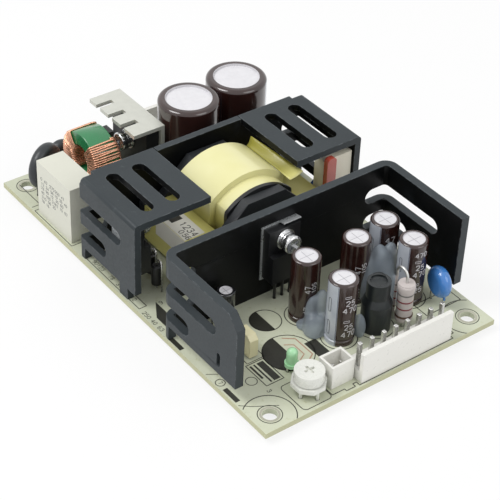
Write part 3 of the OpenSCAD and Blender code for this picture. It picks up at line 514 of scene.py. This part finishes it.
def board_material():
    """Pale green surface, with fibre showing at the cut edges."""
    g = Graph("board", 0.42, spec=0.35)
    field = g.mottle(60, 4.0, "c0c4aa", "d4d8c4", 0.6)
    field = g.mix(g.above(g.noise(900, 4.0, 0.7), 0.55, 0.75), field, rgb("bcbfa0"))
    face = g.both(g.near(g.x, 0.0, (X1 - 0.03) * MM), g.near(g.y, 0.0, (Y1 - 0.03) * MM))
    fibre = g.mix(g.noise(300, 5.0, 0.7, stretch=(0.3, 0.3, 6)), rgb("b0b08c"), rgb("c6c6a4"))
    g.colour(g.mix(g.math("SUBTRACT", 1.0, face), field, fibre))
    g.rough(g.span(g.noise(700), 0.3, 0.7, 0.36, 0.5))
    g.bump(g.noise(1500), 0.012 * MM)
    return g.mat


def tape_material():
    """Yellow tape, deeper in colour low down, where painted shade makes it a darker, more olive yellow."""
    g = Graph("yellow_tape", 0.28, spec=0.4, coat=0.35, coat_rough=0.15)
    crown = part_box("transformer_winding")[1][2]
    down = g.below(g.z, crown - 11 * MM, crown - 4 * MM)
    soft = g.mottle(110, 3.0, "ddd896", "e8e5b6")
    # Painted shade: the lower part of the tape takes a darker, more olive yellow.
    g.colour(g.mix(g.math("MULTIPLY", down, 0.7), soft, g.mottle(200, 3.0, "b9b044", "d2ca6a")))
    g.bump(g.noise(240, stretch=(1, 0.35, 0.35), distortion=0.6), 0.12 * MM, 0.6)
    return g.mat


def loose_material():
    """The loose end's inner side, olive with painted shade, and paler towards its front end, where the
    painted shade is lighter.
    """
    g = Graph("loose_tape", 0.35, spec=0.4, coat=0.2)
    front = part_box("transformer_winding")[1][0]
    # Painted shade: olive towards the rear, turning paler towards the front end.
    g.colour(g.mix(g.above(g.x, front - 6 * MM, front - 0.5 * MM),
                   g.mottle(200, 3.0, "8f8b3c", "aca54c"), g.mottle(200, 3.0, "cfc974", "ddd88f")))
    g.bump(g.noise(300), 0.08 * MM)
    return g.mat


BANDS = ((3.1, "6c6a68"), (5.3, "7c2a33"), (7.6, "7c2a33"), (10.2, "59463a"))  # below the body's top
RESISTOR_WIRE = 3.95  # its bent lead stands this far above the body
RESISTOR_BODY = 12.0


def banded():
    """Grey coated resistor with its colour bands."""
    g = Graph("grey_coating", 0.4, coat=0.2)
    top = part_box("load_resistor")[1][2] - RESISTOR_WIRE * MM
    colour = g.mottle(500, 3.0, "b9afad", "cbc4c0")
    for down, code in BANDS:
        colour = g.mix(g.near(g.z, top - down * MM, 0.24 * MM), colour, rgb(code))
    end = top - RESISTOR_BODY * MM
    wire = g.any(g.above(g.z, top + 0.02 * MM, top + 0.05 * MM),
                 g.below(g.z, end - 0.05 * MM, end - 0.02 * MM))
    g.colour(g.mix(wire, colour, rgb("c9c9c6")))
    g.put(g.bsdf, {"Metallic": wire})
    g.bump(g.noise(900), 0.03 * MM)
    return g.mat


def glossy_disc(name, code_a, code_b, legs):
    """Dipped disc with leads that are bare up to legs mm above the board."""
    g = Graph(name, 0.22, coat=0.6)
    g.finish(g.mottle(240, 3.0, code_a, code_b), g.below(g.z, TOP + legs * MM, TOP + (legs + 0.3) * MM))
    g.bump(g.noise(500), 0.05 * MM)
    return g.mat


def leaded(name, code, rough, legs, vary=0.08, **more):
    """A plain body with leads that are bare up to legs mm above the board."""
    g = Graph(name, rough, **more)
    g.finish(g.mix(g.noise(270), *tones(code, vary)), g.below(g.z, TOP + legs * MM, TOP + (legs + 0.05) * MM))
    g.bump(g.noise(900, 4.0), 0.025 * MM)
    return g.mat


def shrink():
    """Black heat shrink with soft folds."""
    g = Graph("heat_shrink", 0.33, spec=0.4, coat=0.2, coat_rough=0.3)
    g.finish(g.mottle(160, 4.0, "171b1c", "2b3133"), g.below(g.z, TOP, TOP + 0.02 * MM))
    g.bump(g.noise(260, stretch=(1, 1, 0.35), distortion=0.8), 0.35 * MM, 0.8)
    return g.mat


def milky():
    """Clouded adhesive that lets some of what is behind it show."""
    g = Graph("adhesive", 0.3, spec=0.4)
    g.colour(g.mottle(170, 4.0, "8793a0", "b9c4cc"))
    g.put(g.bsdf, {"Alpha": 0.5})
    g.bump(g.noise(300, 4.0), 0.2 * MM)
    return g.mat


black_anodised = anodised()
black_plastic = plain("black_plastic", "17181a", 0.34, depth=0.012)
tinned = plain("tinned_metal", "c9c9c6", 0.28, 1.0, grain=2500)
solder = plain("solder", "b9bbbc", 0.32, 1.0, grain=1500)
bright_steel = plain("bright_steel", "d2d3d4", 0.2, 1.0, grain=2500)
silver_pad = plain("silver_pad", "c4c8ca", 0.3, 0.6, grain=1500)
ferrite = plain("ferrite", "24272a", 0.5, grain=1800, depth=0.04, vary=0.2)
dark_epoxy = plain("dark_epoxy", "2a2e31", 0.4, grain=900, depth=0.05, vary=0.2)
copper = plain("copper", "e2a888", 0.24, 0.65, vary=0.28, grain=1600, coat=0.5)
green_coating = plain("green_coating", "2c7d4d", 0.25, coat=0.6, vary=0.12, grain=500)
tinned_plate = plain("tinned_plate", "cdcec5", 0.38, 0.45, grain=1800)
yellow_tape = tape_material()
loose_tape = loose_material()
grey_coating = banded()
board = board_material()
heat_shrink = shrink()
adhesive = milky()
blue_disc = glossy_disc("blue_epoxy", "3070b8", "4b8ad2", 2.4)
blue_small = glossy_disc("blue_epoxy_small", "1f3f74", "2b5496", 2.6)
red_epoxy = glossy_disc("red_epoxy", "b23d31", "cf6654", 13.0)
x_case = leaded("cream_case", "d3d3c6", 0.42, 0.0, vary=0.035)
film_case = leaded("film_case", "e9e4d2", 0.4, 0.0, vary=0.05)
ceramic_case = leaded("ceramic_case", "d8d2ab", 0.4, 0.6, vary=0.05)
green_lens = leaded("green_lens", "a9dfae", 0.12, 1.55, vary=0.05, coat=0.5)
header_white = plain("header_white", "e6e5df", 0.32, vary=0.03, grain=700)
knob_white = plain("knob_white", "dfe0d9", 0.28, vary=0.03, coat=0.2)

# Angle of each output capacitor's stripe from the viewed side
STRIPES = {"a": -165, "b": -170, "c": -52, "d": -52, "e": -53}

dress(board, "circuit_board")
dress(solder, "solder_joints")
dress(black_anodised, "primary_heatsink", "output_heatsink", bevel=0.25)
dress(ferrite, "transformer_core", bevel=0.2)
dress(black_plastic, "transformer_bobbin")
dress(yellow_tape, "transformer_winding", "transformer_tape")
dress(tinned, "transformer_pins", "input_pins")
dress(tinned, "output_pins", "signal_pins", bevel=0.22)
dress(sleeve("mains_capacitor_a", 2.2, 150, score=False), "mains_capacitor_a")
dress(sleeve("mains_capacitor_b", 2.2, 86, width=14, score=False), "mains_capacitor_b")
for letter, stripe in STRIPES.items():
    dress(sleeve("output_capacitor_" + letter, 1.0, stripe), "output_capacitor_" + letter)
dress(sleeve("auxiliary_capacitor", 0.8, 120, dark="0e0f12", light="1a1c20"), "auxiliary_capacitor")
dress(x_case, "mains_filter_capacitor", bevel=0.3)
dress(green_coating, "choke_core", bevel=0.3)
dress(black_plastic, "choke_base", "fuse", "bridge_rectifier", "output_rectifier", "switching_transistor",
      bevel=0.12)
dress(dark_epoxy, "varistor", "thermistor")
dress(tinned_plate, "bridge_heatsink", bevel=0.1)
dress(bright_steel, "bridge_screw", "output_rectifier_screw", "switching_transistor_screw", bevel=0.08)
dress(silver_pad, "output_rectifier_pad", "switching_transistor_pad")
dress(header_white, "input_header", "output_header", "signal_header", bevel=0.15)
dress(knob_white, "trimmer_body", "trimmer_rotor", bevel=0.25)
dress(green_lens, "indicator_led")
dress(heat_shrink, "output_inductor")
dress(grey_coating, "load_resistor")
dress(blue_disc, "disc_capacitor")
dress(blue_small, "safety_capacitor")
dress(red_epoxy, "snubber_capacitor")
dress(film_case, "film_capacitor", bevel=0.2)
dress(ceramic_case, "ceramic_capacitor", bevel=0.3)

# ---------------------------------------------------------------- marks on the board
# The board ink also paints the shadow beside the output heatsink's foot.
ink = plain("board_ink_and_shadow", "2b2b24", 0.5, vary=0.25, grain=900)
white_ink = plain("sleeve_ink", "c9c8cc", 0.4, vary=0.05)
dark_ink = plain("stripe_ink", "3a3c46", 0.4, vary=0.1)
pink_ink = plain("board_trace", "b39079", 0.45, vary=0.1)
ring_metal = plain("hole_plating", "b9b7a8", 0.35, 0.8, grain=1200)

HOLE_INSET = 5.08
THIN, FINE, LINE = 0.2, 0.22, 0.25  # widths of the printed lines
hole_x, hole_y = X1 - HOLE_INSET, Y1 - HOLE_INSET
bridge_x = box_mm("bridge_rectifier")[0][0]
choke_x, choke_y = centre("choke_core")[:2]

# Rings round parts that stand on the board: node and radius
PART_RINGS = [("output_capacitor_" + letter, 4.9) for letter in STRIPES]
PART_RINGS += [("auxiliary_capacitor", 3.4), ("output_inductor", 5.2)]
PART_RINGS += [("mains_capacitor_a", 9.8), ("mains_capacitor_b", 9.8)]

# Places left empty on this board, half of each filled in: centre and radius
EMPTY = ((29.3, -12.4, 4.3), (42.9, -15.2, 6.9))

# Corners u0, v0, u1, v1, the corner radius and the line width
OUTLINES = (
    (40.9, -27.5, 49.8, -22.0, 0, LINE), (-21.3, -37.2, 6.6, -34.9, 0, FINE),
    (-46.6, -37.6, -26.6, -27.8, 0, FINE), (46.8, 24.3, 52.0, 36.4, 0, LINE),
    (20.4, -31.8, 33.8, -28.6, 0, THIN), (31.6, -26.6, 40.4, -21.2, 0, THIN),
    (52.0, -25.2, 62.4, -16.2, 1.2, FINE), (-62.6, 2.4, -54.4, 22.6, 0, LINE),
    (bridge_x - 1, -6.2, -34.6, 1.6, 0, FINE),
    (choke_x - 10, choke_y - 8, choke_x + 10, choke_y + 8, 0, FINE),
)

# Digits, their lower left corner, height and turn
NUMBERS = (
    ("7", 41.9, -36.9, 1.1, 0), ("12", 1.2, -36.7, 1.2, 0), ("3456", -5.6, -36.7, 1.2, 0),
    ("78", -9.6, -36.7, 1.2, 0), ("90123", -17.6, -36.7, 1.2, 0), ("250", 8.4, -37.6, 1.2, 0),
    ("40", 12.4, -37.6, 1.2, 0), ("63", 15.6, -37.6, 1.2, 0), ("6", 7.0, -30.6, 1.3, -90),
    ("12", 39.8, -30.0, 1.2, 90), ("34", 37.8, -33.2, 1.2, 90), ("1", 46.2, -21.2, 1.2, 0),
    ("3", 51.2, -28.6, 1.2, 0), ("5", 30.2, -20.2, 1.3, 0),
)

# Points and the line width
LINES = (
    ([(-63.0, -24.0), (-56.0, -24.0)], LINE),
    ([(-48.4, -37.4), (-48.4, -34.8), (-60, -34.8)], FINE),
    ([(54.2, 25.4), (61.3, 25.4), (61.3, 23.9), (62.8, 23.9), (62.8, -7.9), (61.5, -7.9), (61.5, -9.1),
      (62.6, -9.1), (62.6, -12.0), (61.8, -12.0), (61.8, -15.9), (54.4, -15.9)], LINE),
    ([(51.5, -37.6), (53.6, -35.2), (57.2, -29.2)], 0.18),
    ([(37.6, -37.6), (39.5, -34.6)], 0.18),
)

# Filled bars, of which the last three are those in the plain frame
BLOCKS = (
    (42.4, -9.7, 50.0, -6.1), (20.9, -37.8, 26.4, -36.4), (44.7, -37.5, 50.3, -36.1),
    (41.6, -24.6, 49.2, -22.6), (41.6, -25.7, 49.2, -25.2), (41.6, -26.9, 47.0, -26.3),
)
# A dark patch beside the output heatsink's foot: a painted shadow of the heatsink, drawn in the board's ink.
PAINTED_SHADOW = [(6.6, -32.0), (14.4, -32.0), (18.4, -35.4), (12.2, -35.4)]

marks = []
plating = []
for sx in (-1, 1):
    for sy in (-1, 1):
        marks += arc(sx * hole_x, sy * hole_y, 3.15, width=FINE)
        plating += arc(sx * hole_x, sy * hole_y, 2.4, width=0.55)
marks += arc(hole_x, -hole_y, 6.8, 43, 221) + arc(hole_x, hole_y, 6.9, 139, 316)
marks += arc(42.2, -36.4, 1.25, width=THIN) + arc(46.2, -29.6, 1.5, width=THIN)
for node, r in PART_RINGS:
    marks += arc(*centre(node)[:2], r)
for spot in EMPTY:
    marks += arc(*spot)
for item in OUTLINES:
    marks += outline(*item)
for item in NUMBERS:
    marks += number(*item)
marks += LINES
fills_and_shadow = [sector(*spot, 180, 360) for spot in EMPTY] + [block(*item) for item in BLOCKS] + [PAINTED_SHADOW]

# The board print also holds the painted shadow beside the output heatsink's foot.
printed("board_print_and_shadow", ink, marks, flat_top(TOP_MM), fills_and_shadow)
printed("board_trace", pink_ink, [
    ([(37.4, -13.2), (39.6, -10.4), (46.8, -10.4), (48.6, -13.4)], 0.35),
    ([(39.8, -14.4), (41.2, -12.2), (45.6, -12.2), (46.8, -14.4)], 0.3)], flat_top(TOP_MM))
printed("hole_rings", ring_metal, plating, flat_top(TOP_MM))

# ---------------------------------------------------------------- marks on the capacitors
STRIPE_MARKS = -53  # angle of the marks in the stripes that show


def cap_marks(letter, rows, striped):
    """Digits given as (text, u, v, height), upright and with marks in the stripe if striped."""
    node = "output_capacitor_" + letter
    r = half_size(node)[0]
    place = round_place(*centre(node)[:2], r)
    strokes = []
    for text, u, v, height in rows:
        v += TOP_MM
        strokes += number(text, u, v, height, 0 if striped else 90, 0.15)
        if striped and text == "25":
            strokes += outline(u - 0.3, v + height + 0.8, u + 1.3, v + height + 1.4, width=0.13)
    printed(node + "_print", white_ink, strokes, place)
    if striped:
        u = math.radians(STRIPE_MARKS) * r
        lines = []
        for v in (TOP_MM + 3.4, TOP_MM + 10.8):
            lines += outline(u - 0.45, v, u + 0.45, v + 4.4, 0.4, 0.16)
        printed(node + "_stripe_print", dark_ink, lines, place)


cap_marks("e", (("25", 0.9, 13.6, 1.6), ("470", 0.2, 11.2, 1.7), ("25", 0.9, 5.6, 1.6),
                ("470", 0.2, 3.2, 1.7)), striped=True)
cap_marks("d", (("470", 0.4, 16.4, 1.4), ("25", 0.9, 12.2, 1.6), ("470", 0.3, 9.8, 1.7),
                ("25", 0.9, 4.6, 1.6)), striped=True)
cap_marks("c", (("47", 0.3, 14.6, 1.7), ("16", 0.6, 11.6, 1.6), ("47", 0.3, 6.6, 1.7)), striped=True)
cap_marks("a", (("47", 1.5, 10.4, 1.5), ("105", 3.1, 10.4, 1.3), ("47", 1.5, 3.4, 1.5),
                ("105", 3.1, 3.4, 1.3)), striped=False)
cap_marks("b", (("47", 1.5, 10.4, 1.5), ("105", 3.1, 10.4, 1.3), ("47", 1.5, 3.4, 1.5)), striped=False)

# ---------------------------------------------------------------- marks on the mains filter capacitor
case_ink = plain("case_ink", "6d7072", 0.5, vary=0.1)

# Two columns: digits, distance from the left edge and height
CASE_ROWS = (
    ("0 47 275", 2.0, 0.9), ("12 34 56", 2.2, 0.8), ("78 90 12", 2.0, 0.8), ("40 100 21", 2.0, 0.8),
    ("310 56 25", 2.2, 0.8), ("78 16", 2.0, 0.8),
    ("250 47", 9.6, 0.8), ("10 26 40", 9.4, 0.8), ("35 60", 9.8, 0.8), ("82 15 07", 9.4, 0.8),
)
CASE_LINES = 6  # lines in the first column
CASE_FIRST = 12.6  # height of the first line above the board
CASE_PITCH = 1.5


def case_marks():
    left, front, _ = box_mm("mains_filter_capacitor")[0]
    lines = []
    for i, (text, start, height) in enumerate(CASE_ROWS):
        v = TOP_MM + CASE_FIRST - (i % CASE_LINES) * CASE_PITCH
        lines += number(text, left + start, v, height * 1.15, 0, 0.14)
    printed("filter_print", case_ink, lines, lambda u, v: ((u, front, v), (0, -1, 0)))


case_marks()

# ---------------------------------------------------------------- transformer label and loose tape
label_white = plain("label_white", "dedcd2", 0.45, vary=0.04)


def label():
    """Stuck on the near leg and folded down over its edge."""
    y, z = box_mm("transformer_tape")[0][1], box_mm("transformer_tape")[1][2]
    bm = bmesh.new()
    fold = ((y + 6.6, z + 0.08), (y + 0.5, z + 0.08), (y + 0.12, z + 0.02),
            (y - 0.06, z - 0.3), (y - 0.06, z - 6.0))
    skin(bm, [[bm.verts.new((x * MM, a * MM, b * MM)) for a, b in fold] for x in (-11.0, 2.6)])
    bmesh.ops.recalc_face_normals(bm, faces=bm.faces[:])
    finish_mesh("transformer_label", bm, label_white, solid=0.08)
    text = number("1234", -4.4, y + 2.9, 2.0, 0, 0.14) + number("0", -1.6, y + 0.7, 1.6)
    text += number("567", 0.2, y + 0.7, 1.6, 0, 0.14)
    printed("label_print", ink, text, flat_top(z + 0.1), [block(-8.6, y + 1.6, -5.8, y + 5.2)])


ARCH_R = 17  # the arch of the winding's top
ARCH_HALF = 11.3
TAPE_ALONG, TAPE_ACROSS = 12, 6


def loose_end():
    """The end of the tape, which stands up from the far edge of the arch."""
    low, high = box_mm("transformer_winding")
    mid_y = centre("transformer_winding")[1]
    edge_z = high[2] - ARCH_R + (ARCH_R + 0.1) * math.cos(math.asin(ARCH_HALF / ARCH_R))
    bm = bmesh.new()
    grid = []
    for i in range(TAPE_ALONG + 1):
        t = i / TAPE_ALONG
        x = low[0] + (high[0] - low[0]) * t
        row = []
        for k in range(TAPE_ACROSS + 1):
            s = k / TAPE_ACROSS
            y = mid_y + ARCH_HALF + s * (1.6 + 2.8 * t) + 0.12 * math.sin(3 * t + 5 * s)
            z = edge_z + s * (2.8 - 1.6 * t) - 0.35 * math.sin(math.pi * s)
            row.append(bm.verts.new((x * MM, y * MM, z * MM)))
        grid.append(row)
    skin(bm, grid[::-1])
    finish_mesh("loose_tape", bm, loose_tape, solid=0.12, smooth=True)


label()
loose_end()


# ---------------------------------------------------------------- choke windings
CORE_BORE = 4.7
WIRE_R = 0.27
WIRE_TURNS = 27
WIRE_SPREAD = math.radians(54)  # half of the core that one winding covers
LEAD_R = 0.4
CURVE_STEPS = 3


def curve(path):
    """A smooth line through the points of a path."""
    out = []
    last = len(path) - 1
    for k in range(last):
        p0, p1 = Vector(path[max(k - 1, 0)]), Vector(path[k])
        p2, p3 = Vector(path[k + 1]), Vector(path[min(k + 2, last)])
        for j in range(CURVE_STEPS):
            t = j / CURVE_STEPS
            out.append(0.5 * ((2 * p1) + (p2 - p0) * t + (2 * p0 - 5 * p1 + 4 * p2 - p3) * t * t
                              + (3 * p1 - p0 - 3 * p2 + p3) * t ** 3))
    out.append(Vector(path[last]))
    return out


def winding(name, side, node):
    """Fine enamelled wire wound round the core, its ends led down through the board."""
    cx, cy, cz = centre("choke_core")
    outer, half, _ = half_size("choke_core")
    step = 2 * WIRE_SPREAD / (WIRE_TURNS - 1)
    face = half + WIRE_R  # the wire's middle where it lies on the core's side
    path = []
    for i in range(WIRE_TURNS):
        # In the bore every second turn lies on the others
        inner = CORE_BORE - WIRE_R - 0.06 - (0.5 if i % 2 else 0.0)
        wobble = math.sin(i * 2.3) * 0.012
        a = -WIRE_SPREAD + 2 * WIRE_SPREAD * i / (WIRE_TURNS - 1)
        nxt = a + step
        out = outer + WIRE_R + 0.06 + 0.12 * (math.sin(i * 1.7) > 0.3)
        loop = (
            (a, out, -half + 1), (a, out - 0.15, -half - WIRE_R * 0.8), (a, out - 0.8, -face - 0.1),
            (a + wobble * 2, (out + inner) / 2, -face - 0.16), (a, inner + 0.8, -face - 0.1),
            (a, inner, -half + 0.6), (a, inner, half - 0.6),
            (a + 0.3 * (nxt - a), inner + 0.8, face + 0.1), (a + 0.6 * (nxt - a), out - 0.8, face + 0.1),
            (a + 0.8 * (nxt - a) + wobble, out - 0.15, half + WIRE_R * 0.8),
            (nxt * 0.9 + a * 0.1 + wobble * 2, out, half - 1),
        )
        for angle, r, y in loop:
            turn = angle if side > 0 else math.pi - angle
            path.append((cx + r * math.cos(turn), cy + y, cz + r * math.sin(turn)))
    bm = bmesh.new()
    add_tube(bm, curve(path), WIRE_R, 7)
    foot = box_mm(node)[0][2] + 0.02
    start = cz - (outer + 0.1) * math.sin(WIRE_SPREAD)
    lead_x = cx + side * (outer + 0.45) * math.cos(math.radians(56))
    for end in (-1, 1):
        lead_y = cy + end * (half + 0.45)
        add_tube(bm, [(lead_x, lead_y, z) for z in (start + 0.8, start, foot)], LEAD_R, 10)
    obj = finish_mesh(name, bm, copper, smooth=True)
    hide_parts(node)


winding("choke_wire_front", 1, "choke_winding_front")
winding("choke_wire_rear", -1, "choke_winding_rear")


# ---------------------------------------------------------------- adhesive on the output capacitors
def blob(name, *lumps):
    """Lumps given as (x, y, z, rx, ry, rz) in mm, fused and smoothed."""
    bm = bmesh.new()
    for n, (x, y, z, rx, ry, rz) in enumerate(lumps):
        made = bmesh.ops.create_icosphere(bm, subdivisions=4, radius=1.0)["verts"]
        for v in made:
            c = v.co.copy()
            swell = 1 + 0.08 * math.sin(2.1 * c.x + 1.7 * c.z + n)
            swell += 0.06 * math.sin(2.7 * c.y - 1.9 * c.z + 2 * n)
            v.co = Vector(((x + c.x * rx * swell) * MM, (y + c.y * ry * swell) * MM,
                           max(TOP_MM + 0.02, z + c.z * rz * swell) * MM))
    obj = finish_mesh(name, bm, adhesive, smooth=True)
    fuse = obj.modifiers.new("fuse", "REMESH")
    fuse.mode = "VOXEL"
    fuse.voxel_size = 0.28 * MM
    fuse.use_smooth_shade = True
    soft = obj.modifiers.new("soft", "SMOOTH")
    soft.iterations = 24
    soft.factor = 0.6


blob("adhesive_near", (37.6, -3.2, 4.0, 2.6, 2.6, 7.2), (40.2, -5.2, 2.6, 3.0, 2.6, 4.6),
     (39.0, -1.0, 5.0, 2.8, 2.6, 8.0), (41.6, -3.2, 3.0, 2.2, 3.0, 5.2), (37.2, -5.6, 1.8, 2.4, 2.2, 2.2))
blob("adhesive_far", (38.4, 18.6, 8.0, 3.2, 3.8, 9.6), (38.0, 22.0, 9.5, 2.6, 2.8, 8.0),
     (37.2, 15.8, 7.0, 2.8, 3.2, 8.4), (41.0, 16.6, 5.0, 2.8, 3.0, 6.0), (41.6, 20.6, 5.0, 2.4, 2.0, 5.6),
     (36.8, 18.8, 14.0, 1.8, 3.0, 4.0))
blob("adhesive_small", (47.6, 4.0, 4.4, 1.9, 1.6, 4.4), (46.4, 4.2, 3.0, 2.2, 1.5, 2.6))

# ---------------------------------------------------------------- small upright parts between the heatsinks
UPRIGHT_LIFT = 1.2
UPRIGHT_SIDES = 20
UPRIGHT_LEAD = 0.3
UPRIGHT_BEND = 1.2


def upright(name, x, y, body_r, body_h):
    """A small part that stands on its leads, one of them bent over from its top."""
    bottom = TOP_MM + UPRIGHT_LIFT
    top = bottom + body_h
    foot = TOP_MM + 0.02
    profile = ((0.25, 0.0), (body_r * 0.75, 0.0), (body_r, 0.35), (body_r, body_h - 0.35),
               (body_r * 0.75, body_h), (0.25, body_h))
    bm = bmesh.new()
    skin(bm, [[bm.verts.new(((x + r * math.cos(a)) * MM, (y + r * math.sin(a)) * MM, (bottom + h) * MM))
               for a in circle(UPRIGHT_SIDES)] for r, h in profile], closed=True)
    finish_mesh(name, bm, black_plastic)
    bend = [(x, y, top - 0.1), (x, y, top + 0.9)]
    for k in range(1, 9):
        a = math.pi * k / 8
        bend.append((x + UPRIGHT_BEND * (1 - math.cos(a)), y, top + 0.9 + UPRIGHT_BEND * math.sin(a)))
    bend.append((x + 2 * UPRIGHT_BEND, y, foot))
    tube(name + "_lead", bend, UPRIGHT_LEAD, tinned)
    tube(name + "_foot", [(x, y, bottom + 0.1), (x, y, foot)], UPRIGHT_LEAD, tinned)


upright("diode_near", 1.6, -28.2, 1.5, 6.5)
upright("diode_middle", -3.4, -26.6, 1.5, 6.5)
upright("diode_far", 3.2, -23.6, 1.4, 5.6)

# ---------------------------------------------------------------- wire end on the inductor
COIL_R = 2.3
coil_x, coil_y = centre("output_inductor")[:2]
coil_z = box_mm("output_inductor")[1][2]
coil = []
for k in range(-6, 24):
    a = math.radians(10 * k)
    coil.append((coil_x + COIL_R * math.cos(a), coil_y + COIL_R * math.sin(a),
                 coil_z - 0.1 + 0.9 * max(0, math.sin(a - 1.0))))
tube("inductor_wire", coil, 0.16, heat_shrink)


# ---------------------------------------------------------------- floor, world, lamps
FLOOR_HALF = 4.0


def floor_material(lit, shown, share):
    """Lit as a pale surface but seen mostly as one plain colour, so that it keeps a soft shadow."""
    g = Graph("floor", 0.9, spec=0.1)
    g.colour(lit)
    glow = g.new("ShaderNodeEmission", {"Color": shown, "Strength": 1.0})
    mix = g.new("ShaderNodeMixShader", {0: g.math("MULTIPLY", g.seen(), share), 1: g.bsdf.outputs[0],
                                        2: glow.outputs[0]})
    g.put(g.tree.nodes["Material Output"], {"Surface": mix.outputs[0]})
    return g.mat


floor_mesh = bpy.data.meshes.new("floor")
floor_z = cad_box[0][2]
floor_mesh.from_pydata([(x, y, floor_z) for x, y in block(-FLOOR_HALF, -FLOOR_HALF, FLOOR_HALF, FLOOR_HALF)],
                       [], [(0, 1, 2, 3)])
floor = bpy.data.objects.new("floor", floor_mesh)
floor.data.materials.append(floor_material((0.86, 0.86, 0.86, 1), WHITE, 0.82))
SCENE.collection.objects.link(floor)

world = bpy.data.worlds.new("world")
SCENE.world = world
world.use_nodes = True
sky = Tree(world.node_tree)
sky.tree.nodes.clear()
lit_sky = sky.new("ShaderNodeBackground", {"Color": WHITE, "Strength": 0.62})
seen_sky = sky.new("ShaderNodeBackground", {"Color": WHITE, "Strength": 1.0})
sky_mix = sky.new("ShaderNodeMixShader", {0: sky.seen(), 1: lit_sky.outputs[0], 2: seen_sky.outputs[0]})
sky.new("ShaderNodeOutputWorld", {0: sky_mix.outputs[0]})


def lamp(name, at, size, power):
    """A round lamp that shines at the middle of the part."""
    data = bpy.data.lights.new(name, "AREA")
    data.shape = "DISK"
    data.size = size
    data.energy = power
    obj = bpy.data.objects.new(name, data)
    obj.location = at
    obj.rotation_euler = (Vector((0, 0, 0.01)) - Vector(at)).to_track_quat("-Z", "Y").to_euler()
    SCENE.collection.objects.link(obj)


lamp("key", (-0.2, -0.4, 0.7), 0.4, 3.7)
lamp("fill", (0.55, 0.2, 0.5), 0.5, 1.3)
